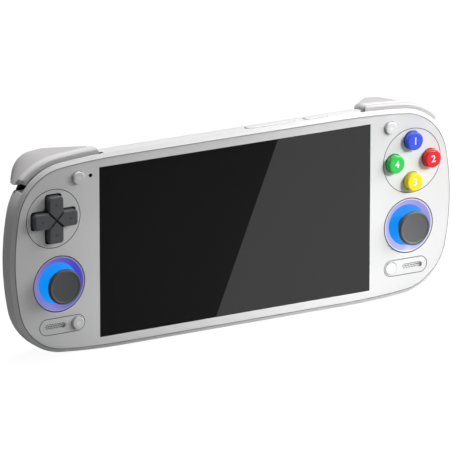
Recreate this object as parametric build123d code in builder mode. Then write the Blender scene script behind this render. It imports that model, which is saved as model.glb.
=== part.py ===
"""Handheld game console with a wide screen, two lit thumbsticks, buttons and shoulder triggers.

Frame: millimetres, +X to the player's right, +Z up, and the screen faces -Y. The origin is the
middle of the whole at the level of the flat land under the bottom edge, on which it stands.
Depths are counted backwards from the front of the cover glass, heights from the screen's middle.
"""
import os
from math import cos, radians, sin, sqrt

from build123d import *

# Overall body
body_length = 198.8
body_height = 78.6
body_depth = 15.6
corner_run = 49.4
corner_radius = 22.85
top_bow = 5.6
side_bow = 11.4
half_length = body_length / 2
half_height = body_height / 2
flat_half = half_length - corner_run
quarter_turn = 90

# Casing: front shell, rear shell and the rounding towards the back
parting_depth = 1.6
lip_width = 1.6
lip_depth = 1.25
wall = 1.8
back_wall = 1.6
round_start = 6.0
side_round = 18.0
top_round = 14.0
foot_round = 4.6
land_trim = 0.1
pocket_wall = 0.7
level_angles = (0, 20, 38, 54, 67, 77, 85, 90)
plate_back = 2.6
overrun = 1.0
cut_reach = 20.0
fit_gap = 0.12
rest_gap = 0.1

# Cover glass, display and midframe
glass_inset = 1.85
glass_thickness = 1.0
boss_seam = 0.2
screen_width = 121.76
screen_height = 68.49
panel_margin = 0.4
panel_thickness = 1.7
panel_gap = 0.05
window_gap = 0.5
midframe_front = 3.0
midframe_thickness = 0.8
midframe_half_width = 63.0
midframe_half_height = half_height - 5.5
midframe_hole_radius = 2.4
midframe_hole_spacing = 36.0

# Cross pad, which rocks on a small ball
pad_x = 18.35 - half_length
pad_z = half_height - 22.65
pad_disc_radius = 11.7
pad_half = 9.3
pad_arm = 6.2
pad_corner = 1.3
pad_proud = 2.8
pad_edge = 0.5
pad_gap = 0.6
pad_flange_radius = 10.3
pad_flange_depth = 3.6
pad_flange_thickness = 0.7
pad_hub_radius = 3.4
pad_peg_radius = 1.2
pad_peg_length = 0.45
pad_groove_length = 9.0
pad_groove_width = 0.9
pad_groove_depth = 0.7
pivot_radius = 1.6
pivot_gap = 0.05
pivot_depth = 5.0
pivot_seat_gap = 0.1

# Four round buttons
cluster_x = half_length - 19.3
cluster_z = half_height - 22.6
cluster_radius = 8.4
cluster_disc_radius = 13.15
button_radius = 3.7
button_proud = 2.7
button_gap = 0.22
button_edge = 0.7
button_flange_radius = 4.5
button_flange_front = 2.75
button_flange_thickness = 0.6
button_key_width = 1.4
button_key_reach = 0.6

# Four small buttons
select_x = 29.2 - half_length
start_x = half_length - 29.4
menu_z = half_height - 7.8
home_x = 28.55 - half_length
back_x = half_length - 28.55
pill_z = 12.6 - half_height
small_radius = 2.5
small_gap = 0.22
small_proud = 1.3
back_proud = 0.2
small_travel = 0.5
small_flange = 0.6
small_flange_thickness = 0.5
small_edge = 0.5
small_plunger_radius = 0.9
small_plunger_back = 3.6
key_switch_gap = 0.05
key_switch_size = 3.2
menu_switch_back = 5.1

# Speaker pills and microphone
pill_x = half_length - 21.9
pill_length = 19.8
pill_width = 6.5
slot_x = half_length - 18.8
slot_length = 9.2
slot_width = 2.2
mesh_recess = 0.8
mesh_thickness = 0.3
mesh_hole_radius = 0.26
mesh_pitch = 0.72
mesh_columns = 11
speaker_x = half_length - 18.0
speaker_length = 12.0
speaker_width = 7.4
speaker_thickness = 4.0
speaker_edge = 0.8
mic_x = 34.7 - half_length
mic_z = half_height - 7.7
mic_radius = 0.65
mic_size = 2.8
mic_thickness = 1.0

# Thumbsticks with their lit dishes
stick_x = half_length - 20.7
stick_z = 29.4 - half_height
dish_radius = 11.1
dish_mouth = 10.7
dish_floor_radius = 8.3
dish_depth = 1.35
dish_hole = 3.9
ring_thickness = 1.1
led_board_radius = 10.4
led_board_hole = 6.4
led_board_thickness = 0.5
led_size = 1.6
led_height = 0.25
led_count = 8
led_circle = 8.6
stick_pivot_depth = 7.0
cap_proud = 5.3
cap_radius = 7.1
cap_rim = 1.2
cap_edge = 0.45
cap_dish_radius = 5.7
cap_dish = 0.45
cap_waist_radius = 6.1
cap_waist_proud = 2.2
cap_under_radius = 4.0
cap_under_proud = 1.1
cap_neck_radius = 1.8
cap_neck_proud = 0.3
cap_neck_back = 4.6
cap_roof = 1.4
stem_radius = 1.3
stem_cap_gap = 0.03
stem_slide_gap = 0.05
stem_tail = 3.0
housing_half = 8.0
housing_wall = 0.9
housing_front = 3.5
housing_back = 12.0
housing_corner = 1.0
yoke_half_x = 6.0
yoke_half_z = 4.6
yoke_bar = 1.5
yoke_half_thickness = 1.0
yoke_corner = 0.8
trunnion_radius = 0.8
trunnion_end = 7.8
hub_half_x = 2.6
hub_half_z = 2.8
hub_half_thickness = 1.6
hub_pin_radius = 0.6
hub_pin_end = 4.4
bearing_gap = 0.05

# Control boards and membranes
board_front = 6.7
board_thickness = 1.0
board_inner_x = half_length - 31.4
board_edge_inset = 3.0
board_top_z = half_height - 13.6
board_low_z = 19.3 - half_height
board_tab_x = half_length - 24.8
board_tab_z = 8.3 - half_height
board_hole_gap = 0.3
membrane_thickness = 0.6
membrane_margin = 0.2
dome_radius = 1.9
dome_height = 0.6
dome_taper = 20
dome_circle = 6.9
button_dome_radius = 2.2
button_dome_circle = 6.2
button_dome_top = 4.75
button_dome_taper = 15
post_radius = 2.3
post_gap = 0.3

# Shoulder bumpers
shoulder_x = half_length - 39.8
shoulder_z = half_height - 8.5
bumper_front = 2.2
bumper_back = 6.4
bumper_proud = 2.1
bumper_inside = 1.8
bumper_edge = 0.9
bumper_end_round = 1.3
bumper_round_angles = (0, 30, 60, 90)
bumper_pocket = 3.0
bumper_pocket_z = half_height - 11.4
bumper_peg_x = shoulder_x + 2.0
bumper_peg_z = half_height - 1.1
bumper_peg_radius = 0.6
bumper_peg_gap = 0.05
bumper_switch_x = half_length - 15.4
bumper_switch_length = 4.0
bumper_switch_height = 0.5
shoulder_gap = 0.4

# Shoulder triggers
trigger_front = 6.9
trigger_back = 26.5
trigger_round = 3.0
trigger_proud = 1.6
trigger_back_length = half_length - 10.3
trigger_back_height = half_height - 0.7
trigger_back_radius = 9.0
trigger_round_angles = (0, 30, 60, 90)
trigger_straight_depth = 10.5
trigger_taper = 15.4
trigger_low_front = half_height - 8.9
trigger_low_back = half_height - 13.1
trigger_wall = 1.6
trigger_hollow_back = 13.4
trigger_hollow_x = shoulder_x + 4.3
trigger_hollow_end_x = half_length - 13.6
trigger_end_round = 2.0
trigger_pocket_z = half_height - 12.4
trigger_swing_room = 2.0
pin_depth = 10.6
pin_z = half_height - 7.9
pin_radius = 0.9
pin_start_x = shoulder_x + 0.7
pin_end_x = trigger_hollow_end_x + 2.0
lug_width = 2.0
lug_first_x = trigger_hollow_x + 0.6
lug_second_x = half_length - 19.4
lug_half = 1.5
lug_root = 0.5
spring_inner_radius = 1.4
spring_wire_radius = 0.2
spring_pitch = 0.9
spring_turns = 6
spring_x = lug_first_x + 3.5

# Keys in the top edge
volume_x = 17.4
volume_length = 21.8
power_x = 38.1
power_length = 10.2
key_width = 3.0
key_depth = 4.2
key_proud = 0.35
key_gap = 0.15
key_edge = 0.3
key_flange = 0.6
key_flange_top = 2.3
key_bottom = 3.0
key_board_thickness = 0.6
key_board_width = 2.6
key_board_drop = 4.5
key_board_margin = 1.5
key_switch_height = 1.0
key_switch_length = 3.0
key_switch_width = 2.2
key_fulcrum_width = 1.0
key_fulcrum_gap = 0.05
volume_switch_offset = 8.0

# Parts inside the middle of the body
battery_x = -23.0
battery_low = 8.3 - half_height
battery_top = half_height - 20.3
battery_length = 74.0
battery_thickness = 6.6
battery_front = 4.1
battery_edge = 1.6
mainboard_front = 4.9
mainboard_thickness = 1.0
mainboard_left = 17.0
mainboard_right = 57.5
mainboard_arm_left = -58.0
mainboard_arm_z = half_height - 18.8
mainboard_top = half_height - 8.3
mainboard_bottom = 4.3 - half_height
chip_length = 9.5
chip_width = 6.3
chip_thickness = 1.2
chip_places = (19.0, 38.0)
shield_x = 45.0
shield_z = 25.3 - half_height
shield_length = 28.0
shield_height = 19.0
shield_thickness = 1.8
shield_edge = 0.4
fan_x = 39.0
fan_z = half_height - 27.8
fan_half = 15.0
fan_front = 6.2
fan_back = 13.2
fan_wall = 0.9
fan_corner = 3.0
fan_inlet_radius = 9.0
fan_hub_radius = 5.4
fan_blade_radius = 12.6
fan_blade_thickness = 0.6
fan_blades = 17
fan_blade_lean = 25.0
fan_running_gap = 0.5
fan_shaft_radius = 0.8
fan_shaft_gap = 0.04
fan_bearing_radius = 1.8
fan_bearing_height = 0.8
pipe_width = 3.6
pipe_thickness = 1.4
pipe_x = 56.1
pipe_seat = 0.05
fin_count = 13
fin_thickness = 0.3
fin_height = 3.2
fin_gap = 0.3

# Sockets in the bottom edge
port_x = 0.0
port_width = 9.0
port_thickness = 3.2
port_shell = 0.3
port_length = 7.3
port_depth = 6.65
port_tongue_width = 6.6
port_tongue_thickness = 0.7
port_board_half = 11.0
port_board_front = 4.2
port_board_thickness = 0.8
port_recess = 0.3
jack_x = 46.0
jack_radius = 1.78
jack_block = 6.0
jack_length = 12.5
jack_blind = 1.0
card_x = 28.0
card_slot_width = 11.6
card_slot_thickness = 1.2
card_block_length = 12.6
card_shell = 0.35
socket_gap = 0.15

# Fasteners
screw_x = half_length - 34.0
screw_heights = (half_height - 17.3, 1.0, 7.8 - half_height)
screw_radius = 0.8
screw_head_radius = 1.8
screw_head_height = 1.0
screw_sunk = 0.35
screw_tip_depth = 3.6
screw_joint_depth = 8.0
screw_post_radius = 2.0
screw_gap = 0.03
screw_head_gap = 0.2
screw_drive_width = 0.5
screw_drive_length = 2.2
screw_drive_depth = 0.5

# Openings in the back
intake_radii = (9.0, 6.0, 3.0)
intake_slot_width = 1.4
intake_bridge = 1.5
vent_count = 8
vent_pitch = 3.6
vent_width = 1.6
vent_bottom = half_height - 10.8
vent_front = 8.6
vent_back = 12.4

# Depth behind the glass at which the frame's Y is zero: the middle from stick caps to triggers
middle_depth = (trigger_back - cap_proud) / 2


def face_plane(depth):
    """A plane at this depth behind the glass, seen from the front, centred on the screen."""
    return Plane(origin=(0, depth - middle_depth, half_height), x_dir=(1, 0, 0), z_dir=(0, -1, 0))


def turning_plane(x, z):
    """A plane through an axis that points out of the face: radius across, proud height up."""
    return Plane(origin=(x, -middle_depth, half_height + z), x_dir=(1, 0, 0), z_dir=(0, 0, -1))


def turning_axis(x, z):
    """The axis of that plane."""
    return Axis((x, 0, half_height + z), (0, 1, 0))


def bow_radii(run, rise, radius):
    """Radii of the top and side bows that join one corner arc over this run and rise."""
    first = radians(top_bow)
    last = radians(quarter_turn - side_bow)
    run_left = run - radius * (sin(last) - sin(first))
    rise_left = rise - radius * (cos(first) - cos(last))
    scale = sin(first) * cos(last) - (1 - sin(last)) * (1 - cos(first))
    top_radius = (run_left * cos(last) - rise_left * (1 - sin(last))) / scale
    side_radius = (rise_left * sin(first) - run_left * (1 - cos(first))) / scale
    return top_radius, side_radius


def outline(side=0.0, top=0.0, bottom=0.0, corner=None):
    """The console's outline, with its sides, top and bottom moved inwards by these amounts."""
    across = half_length - side - flat_half
    upper = half_height - top
    lower = half_height - bottom
    upper_corner = corner_radius - (side + top) / 2 if corner is None else corner
    lower_corner = corner_radius - (side + bottom) / 2 if corner is None else corner
    turn = quarter_turn - top_bow - side_bow
    upper_bow, upper_side = bow_radii(across, upper, upper_corner)
    lower_bow, lower_side = bow_radii(across, lower, lower_corner)
    with BuildSketch() as shape:
        with BuildLine():
            top_edge = Line((0, upper), (flat_half, upper))
            bow = JernArc(top_edge @ 1, (1, 0), upper_bow, -top_bow)
            bend = JernArc(bow @ 1, bow % 1, upper_corner, -turn)
            flank = JernArc(bend @ 1, bend % 1, upper_side, -side_bow)
            low_flank = JernArc(flank @ 1, (0, -1), lower_side, -side_bow)
            low_bend = JernArc(low_flank @ 1, low_flank % 1, lower_corner, -turn)
            low_bow = JernArc(low_bend @ 1, low_bend % 1, lower_bow, -top_bow)
            Line(low_bow @ 1, (0, -lower))
            mirror(about=Plane.YZ)
        make_face()
    return shape.sketch


def inset_outline(inset):
    """The outline moved inwards by the same amount all round."""
    return outline(inset, inset, inset)


def rounding(depth, start, across, deep):
    """How far an elliptical rounding has drawn in at this depth."""
    share = min(1.0, max(0.0, (depth - start) / deep))
    return across * (1 - sqrt(1 - share ** 2))


def body_section(depth, side_skin, back_skin):
    """The body's section at this depth, or its cavity's where the skins aren't zero."""
    deep = body_depth - back_skin - round_start
    foot_start = body_depth - foot_round
    side = side_skin + rounding(depth, round_start, side_round - side_skin, deep)
    top = side_skin + rounding(depth, round_start, top_round - side_skin, deep)
    bottom = side_skin + rounding(depth, foot_start, foot_round - side_skin, foot_round - back_skin)
    return outline(side, top, bottom - land_trim)


def body_solid(front, side_skin, back_skin):
    """The rounded body from this depth to the back, shrunk by the skins, with a flat land."""
    deep = body_depth - back_skin - round_start
    with BuildPart() as body:
        with BuildSketch(face_plane(front)):
            add(body_section(front, side_skin, back_skin))
        extrude(amount=front - round_start)
        for angle in level_angles:
            level = round_start + deep * sin(radians(angle))
            with BuildSketch(face_plane(level)):
                add(body_section(level, side_skin, back_skin))
        loft()
        split(bisect_by=Plane.XY.offset(side_skin), keep=Keep.TOP)
    return body.part


def corner_band(outside, inside, start_x, end_z):
    """The strip of the top right corner between two offsets of the outline."""
    with BuildSketch() as band:
        add(inset_outline(-outside))
        add(inset_outline(inside), mode=Mode.SUBTRACT)
        with Locations((start_x, end_z)):
            Rectangle(half_length, half_height, align=(Align.MIN, Align.MIN), mode=Mode.INTERSECT)
    return band.sketch


def shoulder_pocket(grow):
    """The room cut out of the right top corner for the bumper and the trigger."""
    inner_x = shoulder_x - shoulder_gap - grow
    with BuildPart() as pocket:
        with BuildSketch(face_plane(parting_depth)):
            add(corner_band(cut_reach, bumper_pocket + grow, inner_x, bumper_pocket_z - grow))
        extrude(amount=parting_depth - trigger_front)
        with BuildSketch(Plane.XY.offset(half_height + trigger_pocket_z - grow)):
            with Locations((0, -middle_depth)):
                add(trigger_plan(inner_x, trigger_front - shoulder_gap - grow, trigger_swing_room))
        extrude(amount=half_height)
    return pocket.part


def trigger_plan(inner_x, front, later):
    """The trigger's plan, X against depth: its inner end leans outwards, from this much later on."""
    back = trigger_back + overrun
    far_x = half_length + cut_reach
    lean_start = trigger_straight_depth + later
    with BuildSketch() as plan:
        with BuildLine():
            Polyline((inner_x, front), (inner_x, lean_start), (inner_x + trigger_taper, back + later),
                     (far_x, back + later), (far_x, front), close=True)
        make_face()
    return plan.sketch


def both_sides(piece):
    """A right-hand piece and its mirror image on the left."""
    return [piece, mirror(piece, about=Plane.YZ)]


def cluster_places():
    """Centres of the four round buttons: top, right, bottom and left."""
    return {
        "top": (cluster_x, cluster_z + cluster_radius),
        "right": (cluster_x + cluster_radius, cluster_z),
        "bottom": (cluster_x, cluster_z - cluster_radius),
        "left": (cluster_x - cluster_radius, cluster_z),
    }


def small_button_places():
    """Centres of the four small buttons."""
    return {
        "select": (select_x, menu_z),
        "start": (start_x, menu_z),
        "home": (home_x, pill_z),
        "back": (back_x, pill_z),
    }


def island_shapes(grow):
    """The discs and pills of the front shell that fill the cover glass's cut-outs."""
    with BuildSketch() as islands:
        with Locations((pad_x, pad_z)):
            Circle(pad_disc_radius + grow)
        with Locations((cluster_x, cluster_z)):
            Circle(cluster_disc_radius + grow)
        with Locations((-pill_x, pill_z), (pill_x, pill_z)):
            SlotOverall(pill_length + 2 * grow, pill_width + 2 * grow)
    return islands.sketch


def cross_shape(grow, corner):
    """The cross pad's outline, with slightly bowed arm ends."""
    reach = pad_half + grow
    arm = pad_arm / 2 + grow
    with BuildSketch() as cross:
        Rectangle(2 * reach, 2 * arm)
        Rectangle(2 * arm, 2 * reach)
        tips = [point for point in cross.vertices() if max(abs(point.X), abs(point.Y)) > (reach + arm) / 2]
        fillet(tips, radius=corner)
    return cross.sketch


def make_front_shell():
    """Front shell: the chamfered lip, the plate behind the glass, its islands and screw posts."""
    with BuildPart() as front_shell:
        with BuildSketch(face_plane(0)):
            add(inset_outline(lip_width))
        with BuildSketch(face_plane(lip_depth)):
            add(inset_outline(0))
        loft(ruled=True)
        with BuildSketch(face_plane(lip_depth)):
            add(inset_outline(0))
        extrude(amount=lip_depth - parting_depth)
        with BuildSketch(face_plane(parting_depth)):
            add(inset_outline(wall + fit_gap))
        extrude(amount=parting_depth - plate_back)
        for pocket in both_sides(shoulder_pocket(pocket_wall + fit_gap)):
            add(pocket, mode=Mode.SUBTRACT)
        with BuildSketch(face_plane(0)):
            add(inset_outline(glass_inset - fit_gap))
            add(island_shapes(-boss_seam / 2), mode=Mode.SUBTRACT)
        extrude(amount=-glass_thickness, mode=Mode.SUBTRACT)
        with BuildSketch(face_plane(0)):
            Rectangle(screen_width + 2 * (panel_margin + window_gap),
                      screen_height + 2 * (panel_margin + window_gap))
        extrude(amount=-plate_back - overrun, mode=Mode.SUBTRACT)
        with BuildSketch(face_plane(plate_back)):
            for x in (-screw_x, screw_x):
                with Locations([(x, z) for z in screw_heights]):
                    Circle(screw_post_radius)
        extrude(amount=plate_back - screw_joint_depth)
        with BuildSketch(face_plane(screw_joint_depth)):
            for x in (-screw_x, screw_x):
                with Locations([(x, z) for z in screw_heights]):
                    Circle(screw_radius + screw_gap)
        extrude(amount=screw_joint_depth - screw_tip_depth + rest_gap, mode=Mode.SUBTRACT)
        with BuildSketch(face_plane(0)):
            with Locations((pad_x, pad_z)):
                add(cross_shape(pad_gap, pad_corner))
            with Locations(*cluster_places().values()):
                Circle(button_radius + button_gap)
            with Locations(*small_button_places().values()):
                Circle(small_radius + small_gap)
            with Locations((-slot_x, pill_z), (slot_x, pill_z)):
                SlotOverall(slot_length, slot_width)
            with Locations((mic_x, mic_z)):
                Circle(mic_radius)
            with Locations((-stick_x, stick_z), (stick_x, stick_z)):
                Circle(dish_radius)
        extrude(amount=-plate_back - overrun, mode=Mode.SUBTRACT)
        with BuildSketch(face_plane(parting_depth)):
            with Locations((-bumper_peg_x, bumper_peg_z), (bumper_peg_x, bumper_peg_z)):
                Circle(bumper_peg_radius)
        extrude(amount=parting_depth - bumper_back)
    return front_shell.part


def make_rear_shell():
    """Rear shell: a tub with shoulder pockets, posts, lugs, vents and the holes in its edges."""
    with BuildPart() as cavity:
        add(body_solid(parting_depth, wall, back_wall))
        for pocket in both_sides(shoulder_pocket(pocket_wall)):
            add(pocket, mode=Mode.SUBTRACT)
        with BuildSketch(face_plane(screw_joint_depth)):
            for x in (-screw_x, screw_x):
                with Locations([(x, z) for z in screw_heights]):
                    Circle(screw_post_radius)
        extrude(amount=screw_joint_depth - body_depth, mode=Mode.SUBTRACT)
    with BuildPart() as rear_shell:
        add(body_solid(parting_depth, 0, 0))
        add(cavity.part, mode=Mode.SUBTRACT)
        for pocket in both_sides(shoulder_pocket(0)):
            add(pocket, mode=Mode.SUBTRACT)
        for x in (lug_first_x, lug_second_x):
            for side in (-1, 1):
                with BuildSketch(Plane.YZ.offset(side * x)):
                    with Locations((pin_depth - middle_depth, half_height + pin_z)):
                        Circle(lug_half)
                    with Locations((pin_depth - middle_depth, half_height + trigger_pocket_z - lug_root)):
                        Rectangle(2 * lug_half, pin_z - trigger_pocket_z + lug_root,
                                  align=(Align.CENTER, Align.MIN))
                extrude(amount=side * lug_width)
        with BuildSketch(Plane.YZ.offset(-half_length)):
            with Locations((pin_depth - middle_depth, half_height + pin_z)):
                Circle(pin_radius + screw_gap)
        extrude(amount=half_length - pin_start_x + shoulder_gap, mode=Mode.SUBTRACT)
        with BuildSketch(Plane.YZ.offset(pin_start_x - shoulder_gap)):
            with Locations((pin_depth - middle_depth, half_height + pin_z)):
                Circle(pin_radius + screw_gap)
        extrude(amount=half_length - pin_start_x + shoulder_gap, mode=Mode.SUBTRACT)
        with BuildSketch(face_plane(body_depth)):
            for x in (-screw_x, screw_x):
                with Locations([(x, z) for z in screw_heights]):
                    Circle(screw_head_radius + screw_head_gap)
        extrude(amount=screw_sunk + screw_head_height, mode=Mode.SUBTRACT)
        with BuildSketch(face_plane(body_depth)):
            for x in (-screw_x, screw_x):
                with Locations([(x, z) for z in screw_heights]):
                    Circle(screw_radius + screw_gap)
        extrude(amount=body_depth - screw_joint_depth + overrun, mode=Mode.SUBTRACT)
        with BuildSketch(face_plane(body_depth)):
            with Locations((fan_x, fan_z)):
                for radius in intake_radii:
                    Circle(radius + intake_slot_width / 2)
                    Circle(radius - intake_slot_width / 2, mode=Mode.SUBTRACT)
                Rectangle(2 * fan_half, intake_bridge, mode=Mode.SUBTRACT)
                Rectangle(intake_bridge, 2 * fan_half, mode=Mode.SUBTRACT)
        extrude(amount=back_wall + overrun, mode=Mode.SUBTRACT)
        with BuildSketch(face_plane(vent_front)):
            with Locations((fan_x, vent_bottom)):
                with GridLocations(vent_pitch, 0, vent_count, 1):
                    Rectangle(vent_width, half_height, align=(Align.CENTER, Align.MIN))
        extrude(amount=vent_front - vent_back, mode=Mode.SUBTRACT)
        with BuildSketch(Plane.XY.offset(body_height)):
            with Locations((volume_x, key_depth - middle_depth)):
                SlotOverall(volume_length + 2 * key_gap, key_width + 2 * key_gap)
            with Locations((power_x, key_depth - middle_depth)):
                SlotOverall(power_length + 2 * key_gap, key_width + 2 * key_gap)
        extrude(amount=-wall - overrun, mode=Mode.SUBTRACT)
        with BuildSketch(Plane.XY):
            with Locations((port_x, port_depth - middle_depth)):
                SlotOverall(port_width + 2 * socket_gap, port_thickness + 2 * socket_gap)
            with Locations((jack_x, jack_depth() - middle_depth)):
                Circle(jack_radius + socket_gap)
            with Locations((card_x, card_depth() - middle_depth)):
                Rectangle(card_slot_width, card_slot_thickness)
        extrude(amount=wall + overrun, mode=Mode.SUBTRACT)
    return rear_shell.part


def jack_depth():
    """Depth of the headphone socket's axis, behind the main board."""
    return mainboard_front + mainboard_thickness + jack_block / 2


def card_depth():
    """Depth of the card slot's middle, behind the main board."""
    return mainboard_front + mainboard_thickness + card_shell + card_slot_thickness / 2


def make_cover_glass():
    """Cover glass over the whole face, with cut-outs for the controls."""
    with BuildPart() as cover_glass:
        with BuildSketch(face_plane(0)):
            add(inset_outline(glass_inset))
            add(island_shapes(boss_seam / 2), mode=Mode.SUBTRACT)
            with Locations((-stick_x, stick_z), (stick_x, stick_z)):
                Circle(dish_radius + boss_seam / 2, mode=Mode.SUBTRACT)
            with Locations((select_x, menu_z), (start_x, menu_z)):
                Circle(small_radius + small_gap, mode=Mode.SUBTRACT)
            with Locations((mic_x, mic_z)):
                Circle(mic_radius, mode=Mode.SUBTRACT)
        extrude(amount=-glass_thickness)
    return cover_glass.part


def make_display_panel():
    """Display panel behind the glass, in the front shell's window."""
    with BuildPart() as display_panel:
        with BuildSketch(face_plane(glass_thickness + panel_gap)):
            RectangleRounded(screen_width + 2 * panel_margin, screen_height + 2 * panel_margin,
                             panel_margin)
        extrude(amount=-panel_thickness)
    return display_panel.part


def make_midframe():
    """Metal midframe between the display and the battery, with lightening holes."""
    with BuildPart() as midframe:
        with BuildSketch(face_plane(midframe_front)):
            Rectangle(2 * midframe_half_width, 2 * midframe_half_height)
            with GridLocations(midframe_hole_spacing, midframe_hole_spacing, 3, 2):
                Circle(midframe_hole_radius, mode=Mode.SUBTRACT)
        extrude(amount=-midframe_thickness)
    return midframe.part


def make_cross_pad():
    """Cross pad with a crossed groove on top, a flange under the shell and a ball socket."""
    flange_back = pad_flange_depth + pad_flange_thickness
    with BuildPart() as cross_pad:
        with BuildSketch(face_plane(-pad_proud)):
            with Locations((pad_x, pad_z)):
                add(cross_shape(0, pad_corner))
        extrude(amount=-pad_proud - flange_back)
        fillet(cross_pad.faces().sort_by(Axis.Y)[0].edges(), radius=pad_edge)
        with BuildSketch(face_plane(pad_flange_depth)):
            with Locations((pad_x, pad_z)):
                Circle(pad_flange_radius)
        extrude(amount=-pad_flange_thickness)
        with BuildSketch(face_plane(flange_back)):
            with Locations((pad_x, pad_z)):
                Circle(pad_hub_radius)
        extrude(amount=flange_back - pivot_depth + pivot_seat_gap)
        with BuildSketch(face_plane(flange_back)):
            with Locations((pad_x, pad_z)):
                with PolarLocations(dome_circle, 4):
                    Circle(pad_peg_radius)
        extrude(amount=-pad_peg_length)
        with BuildSketch(face_plane(-pad_proud)):
            for tilt in (45, -45):
                with Locations(Location((pad_x, pad_z, 0), (0, 0, tilt))):
                    SlotOverall(pad_groove_length, pad_groove_width)
        extrude(amount=-pad_groove_depth, mode=Mode.SUBTRACT)
        with Locations((pad_x, pivot_depth - middle_depth, half_height + pad_z)):
            Sphere(pivot_radius + pivot_gap, mode=Mode.SUBTRACT)
    return cross_pad.part


def make_pad_ball():
    """Steel ball on which the cross pad rocks."""
    with BuildPart() as pad_ball:
        with Locations((pad_x, pivot_depth - middle_depth, half_height + pad_z)):
            Sphere(pivot_radius)
    return pad_ball.part


def make_pad_membrane():
    """Rubber membrane under the cross pad, with four domes and a hole for the ball's post."""
    front = board_front - membrane_thickness
    with BuildPart() as pad_membrane:
        with BuildSketch(face_plane(front)):
            with Locations((pad_x, pad_z)):
                Circle(dome_circle + dome_radius + membrane_margin)
                Circle(post_radius + post_gap, mode=Mode.SUBTRACT)
        extrude(amount=-membrane_thickness)
        with BuildSketch(face_plane(front)):
            with Locations((pad_x, pad_z)):
                with PolarLocations(dome_circle, 4):
                    Circle(dome_radius)
        extrude(amount=dome_height, taper=dome_taper)
    return pad_membrane.part


def make_round_button(place):
    """One of the four round buttons, with its flange and the key that stops it turning."""
    x, z = place
    outward_x = (x - cluster_x) / cluster_radius
    outward_z = (z - cluster_z) / cluster_radius
    key_x = x + outward_x * (button_flange_radius + button_key_reach / 2)
    key_z = z + outward_z * (button_flange_radius + button_key_reach / 2)
    with BuildPart() as button:
        with BuildSketch(face_plane(-button_proud)):
            with Locations((x, z)):
                Circle(button_radius)
        extrude(amount=-button_proud - button_flange_front)
        fillet(button.edges().sort_by(Axis.Y)[0], radius=button_edge)
        with BuildSketch(face_plane(button_flange_front)):
            with Locations((x, z)):
                Circle(button_flange_radius)
            with Locations((key_x, key_z)):
                Rectangle(button_key_width, button_key_width)
        extrude(amount=-button_flange_thickness)
    return button.part


def make_button_membrane():
    """Rubber membrane under the four round buttons, with a dome for each."""
    front = board_front - membrane_thickness
    with BuildPart() as button_membrane:
        with BuildSketch(face_plane(front)):
            with Locations((cluster_x, cluster_z)):
                Circle(button_dome_circle + button_dome_radius + membrane_margin)
                Circle(dome_radius, mode=Mode.SUBTRACT)
        extrude(amount=-membrane_thickness)
        with BuildSketch(face_plane(front)):
            with Locations((cluster_x, cluster_z)):
                with PolarLocations(button_dome_circle, 4):
                    Circle(button_dome_radius)
        extrude(amount=front - button_dome_top, taper=button_dome_taper)
    return button_membrane.part


def make_small_button(place, proud):
    """One of the four small buttons, with its flange and plunger."""
    flange_front = plate_back + fit_gap
    with BuildPart() as button:
        with BuildSketch(face_plane(-proud)):
            with Locations(place):
                Circle(small_radius)
        extrude(amount=-proud - flange_front)
        fillet(button.edges().sort_by(Axis.Y)[0], radius=min(small_edge, proud / 2))
        with BuildSketch(face_plane(flange_front)):
            with Locations(place):
                Circle(small_radius + small_flange)
        extrude(amount=-small_flange_thickness)
        with BuildSketch(face_plane(flange_front)):
            with Locations(place):
                Circle(small_plunger_radius)
        extrude(amount=flange_front - small_plunger_back)
    return button.part


def make_key_switches():
    """The four small switches behind the small buttons."""
    front = small_plunger_back + small_travel + key_switch_gap
    with BuildPart() as key_switches:
        with BuildSketch(face_plane(front)):
            with Locations((select_x, menu_z), (start_x, menu_z)):
                Rectangle(key_switch_size, key_switch_size)
        extrude(amount=front - menu_switch_back)
        with BuildSketch(face_plane(front)):
            with Locations((home_x, pill_z), (back_x, pill_z)):
                Rectangle(key_switch_size, key_switch_size)
        extrude(amount=front - board_front)
    return key_switches.part


def make_control_board(pad_post):
    """Right control board, with its stick hole; the left one's mirror image has the ball's post."""
    stick_room = housing_half + board_hole_gap
    with BuildPart() as board:
        with BuildSketch(face_plane(board_front)):
            add(inset_outline(board_edge_inset))
            with Locations((board_inner_x, board_low_z)):
                Rectangle(half_length, board_top_z - board_low_z, align=(Align.MIN, Align.MIN),
                          mode=Mode.INTERSECT)
            with Locations((board_inner_x, board_tab_z)):
                Rectangle(board_tab_x - board_inner_x, board_low_z - board_tab_z,
                          align=(Align.MIN, Align.MIN))
            with Locations((stick_x, stick_z)):
                Rectangle(2 * stick_room, 2 * stick_room, mode=Mode.SUBTRACT)
        extrude(amount=-board_thickness)
        if pad_post:
            with BuildSketch(face_plane(board_front)):
                with Locations((-pad_x, pad_z)):
                    Circle(post_radius)
            extrude(amount=board_front - pivot_depth - pivot_seat_gap)
            with Locations((-pad_x, pivot_depth - middle_depth, half_height + pad_z)):
                Sphere(pivot_radius + pivot_gap, mode=Mode.SUBTRACT)
    return board.part


def make_light_ring():
    """Translucent dish around the right stick: a sloping wall and a floor with the stick's hole."""
    back = dish_depth + ring_thickness
    with BuildPart() as light_ring:
        with BuildSketch(turning_plane(stick_x, stick_z)):
            with BuildLine():
                Polyline((dish_hole, -dish_depth), (dish_floor_radius, -dish_depth), (dish_mouth, 0),
                         (dish_radius - fit_gap, 0), (dish_radius - fit_gap, -back),
                         (dish_hole, -back), close=True)
            make_face()
        revolve(axis=turning_axis(stick_x, stick_z))
    return light_ring.part


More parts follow.
